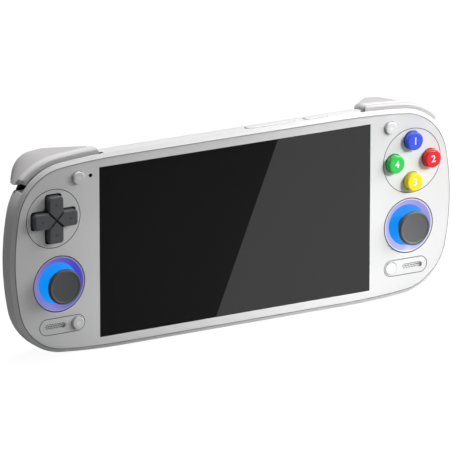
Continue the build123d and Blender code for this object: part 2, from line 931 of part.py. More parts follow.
def make_led_board():
    """Ring-shaped board with the light sources under the right dish."""
    front = dish_depth + ring_thickness + fit_gap + led_height
    with BuildPart() as led_board:
        with BuildSketch(face_plane(front)):
            with Locations((stick_x, stick_z)):
                Circle(led_board_radius)
                Circle(led_board_hole, mode=Mode.SUBTRACT)
        extrude(amount=-led_board_thickness)
        with BuildSketch(face_plane(front)):
            with Locations((stick_x, stick_z)):
                with PolarLocations(led_circle, led_count):
                    Rectangle(led_size, led_size)
        extrude(amount=led_height)
    return led_board.part


def make_stick_housing():
    """Open box of the right stick's module, with the bearings of its yoke."""
    inside = housing_half - housing_wall
    with BuildPart() as housing:
        with BuildSketch(face_plane(housing_front)):
            with Locations((stick_x, stick_z)):
                RectangleRounded(2 * housing_half, 2 * housing_half, housing_corner)
        extrude(amount=housing_front - housing_back)
        with BuildSketch(face_plane(housing_front)):
            with Locations((stick_x, stick_z)):
                Rectangle(2 * inside, 2 * inside)
        extrude(amount=housing_front - housing_back + housing_wall, mode=Mode.SUBTRACT)
        with BuildSketch(Plane.YZ.offset(stick_x - housing_half)):
            with Locations((stick_pivot_depth - middle_depth, half_height + stick_z)):
                Circle(trunnion_radius + bearing_gap)
        extrude(amount=2 * housing_half, mode=Mode.SUBTRACT)
    return housing.part


def make_stick_yoke():
    """Yoke of the right stick: a frame that tips up and down on two trunnions."""
    pivot_y = stick_pivot_depth - middle_depth
    with BuildPart() as yoke:
        with BuildSketch(face_plane(stick_pivot_depth - yoke_half_thickness)):
            with Locations((stick_x, stick_z)):
                RectangleRounded(2 * yoke_half_x, 2 * yoke_half_z, yoke_corner)
                Rectangle(2 * (yoke_half_x - yoke_bar), 2 * (yoke_half_z - yoke_bar),
                          mode=Mode.SUBTRACT)
        extrude(amount=-2 * yoke_half_thickness)
        for side in (-1, 1):
            with BuildSketch(Plane.YZ.offset(stick_x + side * (yoke_half_x - yoke_bar / 2))):
                with Locations((pivot_y, half_height + stick_z)):
                    Circle(trunnion_radius)
            extrude(amount=side * (trunnion_end - yoke_half_x + yoke_bar / 2))
        with BuildSketch(Plane.XY.offset(half_height + stick_z - yoke_half_z)):
            with Locations((stick_x, pivot_y)):
                Circle(hub_pin_radius + bearing_gap)
        extrude(amount=2 * yoke_half_z, mode=Mode.SUBTRACT)
    return yoke.part


def make_stick_hub():
    """Hub of the right stick: it tips left and right in the yoke and guides the stem."""
    with BuildPart() as hub:
        with BuildSketch(face_plane(stick_pivot_depth - hub_half_thickness)):
            with Locations((stick_x, stick_z)):
                Rectangle(2 * hub_half_x, 2 * hub_half_z)
        extrude(amount=-2 * hub_half_thickness)
        with BuildSketch(Plane.XY.offset(half_height + stick_z - hub_pin_end)):
            with Locations((stick_x, stick_pivot_depth - middle_depth)):
                Circle(hub_pin_radius)
        extrude(amount=2 * hub_pin_end)
        with BuildSketch(face_plane(stick_pivot_depth - hub_half_thickness - overrun)):
            with Locations((stick_x, stick_z)):
                Circle(stem_radius + stem_slide_gap)
        extrude(amount=-2 * (hub_half_thickness + overrun), mode=Mode.SUBTRACT)
    return hub.part


def make_stick_stem():
    """Steel stem of the right stick, from inside the cap through the hub."""
    with BuildPart() as stem:
        with BuildSketch(face_plane(cap_roof - cap_proud)):
            with Locations((stick_x, stick_z)):
                Circle(stem_radius)
        extrude(amount=cap_roof - cap_proud - stick_pivot_depth - stem_tail)
    return stem.part


def make_stick_cap():
    """Rubber cap of the right stick: a dished top, a tapering side and a neck."""
    bore = stem_radius + stem_cap_gap
    with BuildPart() as stick_cap:
        with BuildSketch(turning_plane(stick_x, stick_z)):
            with BuildLine():
                top = RadiusArc((0, cap_proud - cap_dish), (cap_dish_radius, cap_proud - cap_edge / 2),
                                -cap_dish_radius ** 2 / cap_dish)
                rim = Spline((cap_dish_radius, cap_proud - cap_edge / 2),
                             ((cap_dish_radius + cap_radius) / 2, cap_proud),
                             (cap_radius, cap_proud - cap_rim))
                Line(rim @ 1, (cap_waist_radius, cap_waist_proud))
                Line((cap_waist_radius, cap_waist_proud), (cap_under_radius, cap_under_proud))
                Line((cap_under_radius, cap_under_proud), (cap_neck_radius, cap_neck_proud))
                Line((cap_neck_radius, cap_neck_proud), (cap_neck_radius, -cap_neck_back))
                Line((cap_neck_radius, -cap_neck_back), (bore, -cap_neck_back))
                Line((bore, -cap_neck_back), (bore, cap_proud - cap_roof + stem_cap_gap))
                Line((bore, cap_proud - cap_roof + stem_cap_gap), (0, cap_proud - cap_roof + stem_cap_gap))
                Line((0, cap_proud - cap_roof + stem_cap_gap), top @ 0)
            make_face()
        revolve(axis=turning_axis(stick_x, stick_z))
    return stick_cap.part


def make_speaker():
    """Right loudspeaker, behind the grille of the pill."""
    with BuildPart() as speaker:
        with BuildSketch(face_plane(plate_back)):
            with Locations((speaker_x, pill_z)):
                RectangleRounded(speaker_length, speaker_width, speaker_edge)
        extrude(amount=-speaker_thickness)
        with BuildSketch(face_plane(plate_back)):
            with Locations((slot_x, pill_z)):
                SlotOverall(slot_length, slot_width)
        extrude(amount=-back_wall, mode=Mode.SUBTRACT)
    return speaker.part


def make_speaker_meshes():
    """The two perforated plates in the speaker slots, as one group of separate solids."""
    rows = ((-mesh_pitch, 0), (0, mesh_pitch / 2), (mesh_pitch, 0))
    with BuildPart() as speaker_meshes:
        for side in (-1, 1):
            with BuildSketch(face_plane(mesh_recess)):
                with Locations((side * slot_x, pill_z)):
                    SlotOverall(slot_length, slot_width)
                for row, shift in rows:
                    with Locations((side * slot_x + shift, pill_z + row)):
                        with GridLocations(mesh_pitch, 0, mesh_columns, 1):
                            Circle(mesh_hole_radius, mode=Mode.SUBTRACT)
            extrude(amount=-mesh_thickness)
    return speaker_meshes.part


def make_microphone():
    """Microphone behind the small hole beside the screen."""
    with BuildPart() as microphone:
        with BuildSketch(face_plane(plate_back)):
            with Locations((mic_x, mic_z)):
                Rectangle(mic_size, mic_size)
        extrude(amount=-mic_thickness)
    return microphone.part


def bumper_band(outside):
    """The bumper's strip of the corner, with its two outer corners rounded."""
    with BuildSketch() as band:
        add(corner_band(outside, bumper_inside, shoulder_x, shoulder_z))
        inner_end = band.vertices().group_by(Axis.X)[0].sort_by(Axis.Y)[-1]
        outer_end = band.vertices().group_by(Axis.Y)[0].sort_by(Axis.X)[-1]
        fillet([inner_end, outer_end], radius=bumper_end_round)
    return band.sketch


def make_bumper():
    """Right shoulder bumper: a curved key along the corner that turns about a peg."""
    with BuildPart() as bumper:
        for angle in bumper_round_angles:
            outside = bumper_proud - bumper_edge * (1 - sin(radians(angle)))
            with BuildSketch(face_plane(bumper_front + bumper_edge * (1 - cos(radians(angle))))):
                add(bumper_band(outside))
        loft()
        with BuildSketch(face_plane(bumper_front + bumper_edge)):
            add(bumper_band(bumper_proud))
        extrude(amount=bumper_front + bumper_edge - bumper_back)
        with BuildSketch(face_plane(0)):
            with Locations((bumper_peg_x, bumper_peg_z)):
                Circle(bumper_peg_radius + bumper_peg_gap)
        extrude(amount=-trigger_front, mode=Mode.SUBTRACT)
    return bumper.part


def make_bumper_switches():
    """The switches under the two bumpers, as one group of separate solids."""
    with BuildPart() as switch:
        with BuildSketch(face_plane(bumper_front + bumper_edge)):
            add(corner_band(bumper_switch_height - bumper_pocket, bumper_pocket, bumper_switch_x, 0))
            with Locations((bumper_switch_x, 0)):
                Rectangle(bumper_switch_length, half_height + bumper_proud,
                          align=(Align.MIN, Align.MIN), mode=Mode.INTERSECT)
        extrude(amount=bumper_front + 2 * bumper_edge - bumper_back)
    with BuildPart() as bumper_switches:
        for piece in both_sides(switch.part):
            add(piece)
    return bumper_switches.part


def trigger_sizes(share):
    """Half length, half height and corner radius of the trigger at this share of its way back."""
    front = (half_length + trigger_proud, half_height + trigger_proud, corner_radius + trigger_proud)
    back = (trigger_back_length, trigger_back_height, trigger_back_radius)
    return [first + share * (last - first) for first, last in zip(front, back)]


def trigger_section(share, extra):
    """The trigger's outer outline at this share of its way back, drawn in by an extra amount."""
    length, height, radius = [size - extra for size in trigger_sizes(share)]
    return outline(half_length - length, half_height - height, half_height - height, radius)


def trigger_top(share, x):
    """Height of the trigger's top over this X, on the bow that starts beyond the flat part."""
    length, height, radius = trigger_sizes(share)
    bow_radius = bow_radii(length - flat_half, height, radius)[0]
    return height - bow_radius + sqrt(bow_radius ** 2 - (x - flat_half) ** 2)


def trigger_end_section(inner_x, top):
    """A tall section that starts at this X, with its upper inner corner rounded at this height."""
    with BuildSketch() as section:
        with Locations((inner_x, top)):
            Rectangle(half_length, body_height, align=(Align.MIN, Align.MAX))
        inner_top = section.vertices().group_by(Axis.X)[0].sort_by(Axis.Y)[-1]
        fillet(inner_top, radius=trigger_end_round)
    return section.sketch


def trigger_end_shape():
    """The space that the trigger keeps to: straight at the front, then leaning outwards."""
    straight_back = trigger_back - trigger_round
    lean_share = (trigger_straight_depth - trigger_front) / (straight_back - trigger_front)
    with BuildPart() as space:
        with BuildSketch(face_plane(trigger_front - overrun)):
            add(trigger_end_section(shoulder_x, trigger_top(0, shoulder_x)))
        with BuildSketch(face_plane(trigger_straight_depth)):
            add(trigger_end_section(shoulder_x, trigger_top(lean_share, shoulder_x)))
        with BuildSketch(face_plane(trigger_back + overrun)):
            add(trigger_end_section(shoulder_x + trigger_taper, trigger_top(1, shoulder_x + trigger_taper)))
        loft(ruled=True)
    return space.part


def make_trigger():
    """Right shoulder trigger: a hollow wedge that narrows towards the back and turns on a pin."""
    straight_back = trigger_back - trigger_round
    hollow_share = (trigger_hollow_back - trigger_front) / (straight_back - trigger_front)
    low_front = half_height + trigger_low_front
    low_back = half_height + trigger_low_back
    front_y = trigger_front - middle_depth - overrun
    back_y = trigger_back - middle_depth + overrun
    with BuildPart() as trigger:
        with BuildSketch(face_plane(trigger_front)):
            add(trigger_section(0, 0))
        with BuildSketch(face_plane(straight_back)):
            add(trigger_section(1, 0))
        loft(ruled=True)
        for angle in trigger_round_angles:
            with BuildSketch(face_plane(straight_back + trigger_round * sin(radians(angle)))):
                add(trigger_section(1, trigger_round * (1 - cos(radians(angle)))))
        loft()
        add(trigger_end_shape(), mode=Mode.INTERSECT)
        with BuildSketch(Plane.YZ):
            with BuildLine():
                Polyline((front_y, low_front), (back_y, low_back), (back_y, 2 * body_height),
                         (front_y, 2 * body_height), close=True)
            make_face()
        extrude(amount=body_length, mode=Mode.INTERSECT)
        with BuildSketch(face_plane(trigger_front + trigger_wall)):
            add(trigger_section(hollow_share, trigger_wall))
            with Locations((trigger_hollow_x, 0)):
                Rectangle(trigger_hollow_end_x - trigger_hollow_x, half_height,
                          align=(Align.MIN, Align.MIN), mode=Mode.INTERSECT)
        extrude(amount=trigger_front + trigger_wall - trigger_hollow_back, mode=Mode.SUBTRACT)
        with BuildSketch(Plane.YZ.offset(shoulder_x - overrun)):
            with Locations((pin_depth - middle_depth, half_height + pin_z)):
                Circle(pin_radius + bearing_gap)
        extrude(amount=pin_end_x + shoulder_gap - shoulder_x + overrun, mode=Mode.SUBTRACT)
    return trigger.part


def make_trigger_pins():
    """The two pins on which the triggers turn, as one group of separate solids."""
    with BuildPart() as trigger_pins:
        for side in (-1, 1):
            with BuildSketch(Plane.YZ.offset(side * pin_start_x)):
                with Locations((pin_depth - middle_depth, half_height + pin_z)):
                    Circle(pin_radius)
            extrude(amount=side * (pin_end_x - pin_start_x))
    return trigger_pins.part


def make_trigger_springs():
    """The two torsion springs on the trigger pins, as one group of separate solids."""
    coil_radius = spring_inner_radius + spring_wire_radius
    with BuildPart() as spring:
        with BuildLine():
            turns = Helix(spring_pitch, spring_turns * spring_pitch, coil_radius,
                          center=(spring_x, pin_depth - middle_depth, half_height + pin_z),
                          direction=(1, 0, 0))
        with BuildSketch(Plane(origin=turns @ 0, z_dir=turns % 0)):
            Circle(spring_wire_radius)
        sweep(is_frenet=True)
    with BuildPart() as trigger_springs:
        for piece in both_sides(spring.part):
            add(piece)
    return trigger_springs.part


def make_top_key(x, length):
    """A key in the top edge: a pill with retaining ends under the wall."""
    with BuildPart() as key:
        with BuildSketch(Plane.XY.offset(body_height + key_proud)):
            with Locations((x, key_depth - middle_depth)):
                SlotOverall(length, key_width)
        extrude(amount=-key_proud - key_bottom)
        fillet(key.faces().sort_by(Axis.Z)[-1].edges(), radius=key_edge)
        with BuildSketch(Plane.XY.offset(body_height - key_flange_top)):
            with Locations((x, key_depth - middle_depth)):
                Rectangle(length + 2 * key_flange, key_width - 2 * key_edge)
        extrude(amount=key_flange_top - key_bottom)
    return key.part


def make_side_key_board():
    """Board under the top keys, with three switches and the volume key's fulcrum."""
    left = volume_x - volume_length / 2 - key_board_margin
    right = power_x + power_length / 2 + key_board_margin
    top = body_height - key_board_drop
    with BuildPart() as board:
        with BuildSketch(Plane.XY.offset(top)):
            with Locations(((left + right) / 2, key_depth - middle_depth)):
                Rectangle(right - left, key_board_width)
        extrude(amount=-key_board_thickness)
        with BuildSketch(Plane.XY.offset(top)):
            with Locations((volume_x - volume_switch_offset, key_depth - middle_depth),
                           (volume_x + volume_switch_offset, key_depth - middle_depth),
                           (power_x, key_depth - middle_depth)):
                Rectangle(key_switch_length, key_switch_width)
        extrude(amount=key_switch_height)
        with BuildSketch(Plane.XY.offset(top)):
            with Locations((volume_x, key_depth - middle_depth)):
                Rectangle(key_fulcrum_width, key_switch_width)
        extrude(amount=key_board_drop - key_bottom - key_fulcrum_gap)
    return board.part


def make_battery():
    """Flat rechargeable battery pack."""
    with BuildPart() as battery:
        with BuildSketch(face_plane(battery_front)):
            with Locations((battery_x, battery_low)):
                Rectangle(battery_length, battery_top - battery_low, align=(Align.CENTER, Align.MIN))
        extrude(amount=-battery_thickness)
        fillet(battery.edges().filter_by(Axis.Z), radius=battery_edge)
    return battery.part


def make_mainboard():
    """L-shaped main board with a few chips on its front."""
    with BuildPart() as mainboard:
        with BuildSketch(face_plane(mainboard_front)):
            with Locations((mainboard_left, mainboard_bottom)):
                Rectangle(mainboard_right - mainboard_left, mainboard_top - mainboard_bottom,
                          align=(Align.MIN, Align.MIN))
            with Locations((mainboard_arm_left, mainboard_arm_z)):
                Rectangle(mainboard_left - mainboard_arm_left, mainboard_top - mainboard_arm_z,
                          align=(Align.MIN, Align.MIN))
        extrude(amount=-mainboard_thickness)
        with BuildSketch(face_plane(mainboard_front + mainboard_thickness)):
            with Locations((mainboard_arm_left, (mainboard_arm_z + mainboard_top) / 2)):
                with Locations([(place, 0) for place in chip_places]):
                    Rectangle(chip_length, chip_width)
        extrude(amount=-chip_thickness)
    return mainboard.part


def make_chip_shield():
    """Metal shield over the main chips."""
    front = mainboard_front + mainboard_thickness
    with BuildPart() as chip_shield:
        with BuildSketch(face_plane(front)):
            with Locations((shield_x, shield_z)):
                Rectangle(shield_length, shield_height)
        extrude(amount=-shield_thickness)
        fillet(chip_shield.faces().sort_by(Axis.Y)[-1].edges(), radius=shield_edge)
        with BuildSketch(face_plane(front)):
            with Locations((shield_x, shield_z)):
                Rectangle(shield_length - 2 * shield_edge, shield_height - 2 * shield_edge)
        extrude(amount=shield_edge - shield_thickness, mode=Mode.SUBTRACT)
    return chip_shield.part


def make_heat_pipe():
    """Flattened heat pipe from the chip shield up past the fan to the fins."""
    front = mainboard_front + mainboard_thickness + shield_thickness + pipe_seat
    fin_middle = fan_z + fan_half + fin_gap + fin_height / 2
    with BuildPart() as heat_pipe:
        with BuildSketch(face_plane(front)):
            with BuildLine():
                FilletPolyline((shield_x - shield_length / 3, shield_z), (pipe_x, shield_z),
                               (pipe_x, fin_middle), radius=pipe_width)
            trace(line_width=pipe_width)
        extrude(amount=-pipe_thickness)
    return heat_pipe.part


def make_fin_stack():
    """Thin cooling fins at the fan's outlet, on a base plate that reaches under the heat pipe."""
    low = fan_z + fan_half + fin_gap
    outlet_half = fan_half - fan_corner
    base_back = mainboard_front + mainboard_thickness + shield_thickness
    pitch = (2 * outlet_half - fin_thickness) / (fin_count - 1)
    with BuildPart() as fin_stack:
        with BuildSketch(face_plane(fan_front)):
            with Locations((fan_x, low + fin_height / 2)):
                with GridLocations(pitch, 0, fin_count, 1):
                    Rectangle(fin_thickness, fin_height)
        extrude(amount=fan_front - vent_back)
        with BuildSketch(face_plane(fan_front)):
            with Locations((fan_x - outlet_half, low)):
                Rectangle(pipe_x + pipe_width / 2 - fan_x + outlet_half, fin_height,
                          align=(Align.MIN, Align.MIN))
        extrude(amount=fan_front - base_back)
    return fin_stack.part


def make_fan_housing():
    """Housing of the blower: open towards the fins, with a round inlet at the back."""
    with BuildPart() as fan_housing:
        with BuildSketch(face_plane(fan_front)):
            with Locations((fan_x, fan_z)):
                RectangleRounded(2 * fan_half, 2 * fan_half, fan_corner)
        extrude(amount=fan_front - fan_back)
        with BuildSketch(face_plane(fan_front + fan_wall)):
            with Locations((fan_x, fan_z)):
                RectangleRounded(2 * (fan_half - fan_wall), 2 * (fan_half - fan_wall), fan_corner)
            with Locations((fan_x, fan_z + fan_half)):
                Rectangle(2 * (fan_half - fan_corner), fan_half, mode=Mode.ADD)
        extrude(amount=fan_front + 2 * fan_wall - fan_back, mode=Mode.SUBTRACT)
        with BuildSketch(face_plane(fan_back)):
            with Locations((fan_x, fan_z)):
                Circle(fan_inlet_radius)
        extrude(amount=fan_wall, mode=Mode.SUBTRACT)
        with BuildSketch(face_plane(fan_front + fan_wall)):
            with Locations((fan_x, fan_z)):
                Circle(fan_bearing_radius)
        extrude(amount=-fan_bearing_height)
        with BuildSketch(face_plane(fan_front)):
            with Locations((fan_x, fan_z)):
                Circle(fan_shaft_radius + fan_shaft_gap)
        extrude(amount=-fan_wall - fan_bearing_height, mode=Mode.SUBTRACT)
    return fan_housing.part


def make_fan_rotor():
    """Rotor of the blower: a cup-shaped hub, leaning blades and a shaft."""
    front = fan_front + fan_wall + fan_bearing_height + fan_running_gap
    back = fan_back - fan_wall - fan_running_gap
    blade_length = fan_blade_radius - fan_hub_radius
    with BuildPart() as rotor:
        with BuildSketch(face_plane(front)):
            with Locations((fan_x, fan_z)):
                Circle(fan_hub_radius)
                with PolarLocations(fan_hub_radius - fan_blade_thickness, fan_blades):
                    with Locations(Location((0, 0, 0), (0, 0, fan_blade_lean))):
                        Rectangle(blade_length, fan_blade_thickness, align=(Align.MIN, Align.CENTER))
        extrude(amount=front - back)
        with BuildSketch(face_plane(fan_front + fan_wall / 2)):
            with Locations((fan_x, fan_z)):
                Circle(fan_shaft_radius)
        extrude(amount=fan_front + fan_wall / 2 - front)
    return rotor.part


def make_usb_port():
    """Charging and data socket with its tongue, on the small board that carries it."""
    inner_width = port_width - 2 * port_shell
    inner_thickness = port_thickness - 2 * port_shell
    with BuildPart() as usb_port:
        with BuildSketch(Plane.XY.offset(port_recess)):
            with Locations((port_x, port_depth - middle_depth)):
                SlotOverall(port_width, port_thickness)
        extrude(amount=port_length)
        with BuildSketch(Plane.XY.offset(port_recess)):
            with Locations((port_x, port_depth - middle_depth)):
                SlotOverall(inner_width, inner_thickness)
                Rectangle(port_tongue_width, port_tongue_thickness, mode=Mode.SUBTRACT)
        extrude(amount=port_length - port_recess - port_shell, mode=Mode.SUBTRACT)
        with BuildSketch(Plane.XY.offset(port_recess)):
            with Locations((port_x, port_depth - middle_depth)):
                Rectangle(port_tongue_width, port_tongue_thickness)
        extrude(amount=port_recess, mode=Mode.SUBTRACT)
    return usb_port.part


def make_port_board():
    """Small board in front of the charging socket."""
    with BuildPart() as port_board:
        with BuildSketch(face_plane(port_board_front)):
            with Locations((port_x, wall + rest_gap - half_height)):
                Rectangle(2 * port_board_half, port_length - wall, align=(Align.CENTER, Align.MIN))
        extrude(amount=-port_board_thickness)
    return port_board.part


def make_headphone_jack():
    """Headphone socket block with its bore."""
    with BuildPart() as headphone_jack:
        with BuildSketch(Plane.XY.offset(wall + rest_gap)):
            with Locations((jack_x, jack_depth() - middle_depth)):
                Rectangle(jack_block, jack_block)
        extrude(amount=jack_length)
        with BuildSketch(Plane.XY.offset(wall + rest_gap)):
            with Locations((jack_x, jack_depth() - middle_depth)):
                Circle(jack_radius)
        extrude(amount=jack_length - jack_blind, mode=Mode.SUBTRACT)
    return headphone_jack.part


def make_card_socket():
    """Metal shell of the memory card socket."""
    with BuildPart() as card_socket:
        with BuildSketch(Plane.XY.offset(wall + rest_gap)):
            with Locations((card_x, card_depth() - middle_depth)):
                Rectangle(card_slot_width + 2 * card_shell, card_slot_thickness + 2 * card_shell)
                Rectangle(card_slot_width, card_slot_thickness, mode=Mode.SUBTRACT)
        extrude(amount=card_block_length)
    return card_socket.part


def make_screws():
    """The six screws through the rear shell into the front shell, as one group."""
    head_top = body_depth - screw_sunk
    with BuildPart() as screws:
        with BuildSketch(face_plane(head_top)):
            for x in (-screw_x, screw_x):
                with Locations([(x, z) for z in screw_heights]):
                    Circle(screw_head_radius)
        extrude(amount=screw_head_height)
        with BuildSketch(face_plane(head_top)):
            for x in (-screw_x, screw_x):
                with Locations([(x, z) for z in screw_heights]):
                    Circle(screw_radius)
        extrude(amount=head_top - screw_tip_depth)
        with BuildSketch(face_plane(head_top)):
            for x in (-screw_x, screw_x):
                with Locations([(x, z) for z in screw_heights]):
                    Rectangle(screw_drive_length, screw_drive_width)
                    Rectangle(screw_drive_width, screw_drive_length)
        extrude(amount=screw_drive_depth, mode=Mode.SUBTRACT)
    return screws.part


def save(part, name):
    """Label one piece and write it."""
    part.label = name
    export_step(part, f"parts/{name}.step")
    print(name, part.is_valid, round(part.volume, 1))


def save_pair(part, name):
    """Write a right-hand piece and its mirror image."""
    right, left = both_sides(part)
    save(right, "right_" + name)
    save(left, "left_" + name)


os.makedirs("parts", exist_ok=True)
save(make_front_shell(), "front_shell")
save(make_rear_shell(), "rear_shell")
save(make_cover_glass(), "cover_glass")
save(make_display_panel(), "display_panel")
save(make_midframe(), "midframe")
save(make_cross_pad(), "cross_pad")
save(make_pad_ball(), "cross_pad_ball")
save(make_pad_membrane(), "cross_pad_membrane")
for side, place in cluster_places().items():
    save(make_round_button(place), side + "_button")
save(make_button_membrane(), "button_membrane")
for use, place in small_button_places().items():
    save(make_small_button(place, back_proud if use == "back" else small_proud), use + "_button")
save(make_key_switches(), "key_switches")
save(make_control_board(False), "right_control_board")
save(mirror(make_control_board(True), about=Plane.YZ), "left_control_board")
save_pair(make_light_ring(), "light_ring")
save_pair(make_led_board(), "led_board")
save_pair(make_stick_housing(), "stick_housing")
save_pair(make_stick_yoke(), "stick_yoke")
save_pair(make_stick_hub(), "stick_hub")
save_pair(make_stick_stem(), "stick_stem")
save_pair(make_stick_cap(), "stick_cap")
save_pair(make_speaker(), "speaker")
save(make_speaker_meshes(), "speaker_meshes")
save(make_microphone(), "microphone")
save_pair(make_bumper(), "bumper")
save(make_bumper_switches(), "bumper_switches")
save_pair(make_trigger(), "trigger")
save(make_trigger_pins(), "trigger_pins")
save(make_trigger_springs(), "trigger_springs")
save(make_top_key(volume_x, volume_length), "volume_rocker")
save(make_top_key(power_x, power_length), "power_button")
save(make_side_key_board(), "side_key_board")
save(make_battery(), "battery")
save(make_mainboard(), "mainboard")
save(make_chip_shield(), "chip_shield")
save(make_heat_pipe(), "heat_pipe")
save(make_fin_stack(), "fin_stack")
save(make_fan_housing(), "fan_housing")
save(make_fan_rotor(), "fan_rotor")
save(make_usb_port(), "usb_c_port")
save(make_port_board(), "port_board")
save(make_headphone_jack(), "headphone_jack")
save(make_card_socket(), "card_socket")
save(make_screws(), "screws")
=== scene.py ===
from math import cos, pi, radians, sin

import bpy
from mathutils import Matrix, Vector


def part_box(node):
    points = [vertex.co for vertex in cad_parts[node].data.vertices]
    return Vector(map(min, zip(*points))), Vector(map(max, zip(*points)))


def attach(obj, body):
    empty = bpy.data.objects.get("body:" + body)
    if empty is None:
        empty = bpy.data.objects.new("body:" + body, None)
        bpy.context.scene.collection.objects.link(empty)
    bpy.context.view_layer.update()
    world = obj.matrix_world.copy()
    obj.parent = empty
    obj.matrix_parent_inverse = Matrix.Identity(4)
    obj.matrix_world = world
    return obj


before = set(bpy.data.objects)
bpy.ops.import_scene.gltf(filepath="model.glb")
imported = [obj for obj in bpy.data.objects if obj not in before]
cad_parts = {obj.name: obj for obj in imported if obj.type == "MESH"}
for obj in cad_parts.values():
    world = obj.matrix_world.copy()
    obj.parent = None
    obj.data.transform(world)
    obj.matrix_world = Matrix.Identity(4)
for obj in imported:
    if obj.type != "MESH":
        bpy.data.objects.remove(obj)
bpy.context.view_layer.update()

MM = 0.001

# The face: its place in the frame and the layout of the controls, in millimetres
FACE_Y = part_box("cover_glass")[0][1] / MM
MIDDLE_Z = 39.3
SCREEN_HALF_X = 60.88
SCREEN_HALF_Z = 34.245
PAD = (-81.05, 16.65)
CLUSTER = (80.1, 16.7)
CLUSTER_REACH = 8.4
STICK = (78.7, -9.9)
PILL = (77.5, -26.7)
PILL_RUN = 6.65
PILL_RADIUS = 3.25
PAD_DISC = 11.7
CLUSTER_DISC = 13.15
DISH_RADIUS = 11.1
DISH_FLOOR = 8.3
DISH_LIP = 10.45
SMALL_KEYS = ((70.1, 31.5), (70.85, -26.7))
SMALL_HOLE = 3.2
MICROPHONE = (-64.7, 31.6)
MICROPHONE_RADIUS = 0.75
SEAM = 0.14

# The crossed grooves of the cross pad, drawn in painted light and painted shade, in millimetres
PAD_GROOVE = 9.0
PAD_GROOVE_WIDTH = 0.62

# The rim line round the glass, the painted shade inside the openings and the notches, the top edge, and
# where the bumpers' shaded front ends, in millimetres
RIM_DEPTH = 0.12
RIM_CLEAR = 0.6
INSIDE_FRONT = 0.25
INSIDE_BACK = 4.0
TOP_KEYS = ((17.4, 9.4), (38.1, 3.6))
TOP_KEY_DEPTH = 4.2
TOP_KEY_RADIUS = 1.65
TOP_EDGE_Z = 37.0
BUMPER_FRONT = 3.4
NOTCH_X = (57.9, 59.6)
NOTCH_DEPTHS = (1.7, 3.4)

# The speaker plates' holes, drawn in painted shade: the middle of a plate, the pitch, and the radius as a
# share of it
SLOT_X = 80.6
HOLE_PITCH = 0.72
HOLE_SHARE = 0.37

# Marks on the keys, in millimetres, with the corners of each round the middle of its key
DIGIT_SIZE = 4.0
DIGIT_BOLDNESS = 0.08
MARK_LIFT = 0.012
MARK_DEPTH = 0.02
SQUARE_MARK = [(-0.8, -0.8), (0.8, -0.8), (0.8, 0.8), (-0.8, 0.8)]
TRIANGLE_MARK = [(-0.7, -1.0), (1.0, 0.0), (-0.7, 1.0)]
HOUSE_MARK = [(-0.8, -0.9), (0.8, -0.9), (0.8, 0.1), (1.2, 0.1), (0.0, 1.1), (-1.2, 0.1), (-0.8, 0.1)]
ARROW_MARK = [(-1.2, 0.0), (0.0, -1.0), (0.0, -0.4), (1.1, -0.4), (1.1, 0.4), (0.0, 0.4), (0.0, 1.0)]
PAD_MARK = [(6.9, 0.0), (5.6, 0.75), (5.6, -0.75)]
SMALL_MARKS = {
    "select": ((-70.2, 31.5), SQUARE_MARK),
    "start": ((70.0, 31.5), TRIANGLE_MARK),
    "home": ((-70.85, -26.7), HOUSE_MARK),
    "back": ((70.85, -26.7), ARROW_MARK),
}

# Ribs under the triggers' outer ends, near black as painted shade in the gap: X, height about the
# screen's middle, and depth
RIB_INNER = 78.0
RIB_OUTER_LOW = 91.3
RIB_OUTER_HIGH = 90.2
RIB_HEIGHTS = (26.5, 28.8)
RIB_DEPTHS = (10.0, 11.6)

# Colours of the casing, its painted lines, the painted shade in its openings and holes, the face, and the
# bumpers with painted light on top and painted shade in front
SHELL_WHITE = (0.80, 0.80, 0.80)
SEAM_GREY = (0.10, 0.10, 0.10)
RIM_GREY = (0.30, 0.30, 0.30)
TOP_KEY_GREY = (0.22, 0.22, 0.22)
# Painted shade inside the openings and notches
OPENING_SHADE_BLACK = (0.02, 0.02, 0.02)
# Painted shade in the microphone hole and the speaker holes
HOLE_SHADE_BLACK = (0.01, 0.01, 0.01)
SCREEN_BLACK = (0.012, 0.012, 0.012)
PLATE_WHITE = (0.85, 0.85, 0.85)
# Painted light on the bumpers' tops and painted shade on their fronts
BUMPER_LIT_TOP_WHITE = (0.85, 0.84, 0.84)
BUMPER_SHADED_FRONT_GREY = (0.64, 0.63, 0.63)

# Colours of the cross pad, with painted light in one of its crossed grooves and painted shade in the
# other
PAD_GREY = (0.12, 0.123, 0.13)
LIT_GROOVE_GREY = (0.20, 0.20, 0.21)
SHADED_GROOVE_BLACK = (0.004, 0.004, 0.005)

# The lit dishes: their colours, with the deep and the pale violet of the wall and the lip for
# each side, the left's darker as painted shade and the right's paler as painted light, and how
# much painted shade deepens the wall towards the right and towards the top
DISH_BASE = (0.02, 0.02, 0.05)
DISH_AZURE = (0.0, 0.29, 1.0)
DISH_SEAM = (0.03, 0.03, 0.04)
DISH_GLOW = 0.92
DISH_SHADE_SLANT = (0.55, 0.30)
# The left dish is darker with painted shade, the right paler with painted light
LEFT_DISH_SHADED = ((0.07, 0.06, 0.60), (0.21, 0.20, 0.58), (0.26, 0.25, 0.45))
RIGHT_DISH_LIT = ((0.36, 0.34, 0.85), (0.48, 0.50, 0.92), (0.80, 0.80, 0.92))

# Roughness and grain of the plastics
FACE_ROUGHNESS = 0.35
SATIN = 0.38
KEY_ROUGHNESS = 0.25
MARK_ROUGHNESS = 0.4
FAINT_GRAIN = 0.05
PLASTIC_GRAIN = 0.1
RUBBER_GRAIN = 0.25
PLASTIC_GRAIN_SCALE = 3000.0
PLASTIC_GRAIN_HEIGHT = 0.06 * MM
GRAIN_DETAIL = 2.0

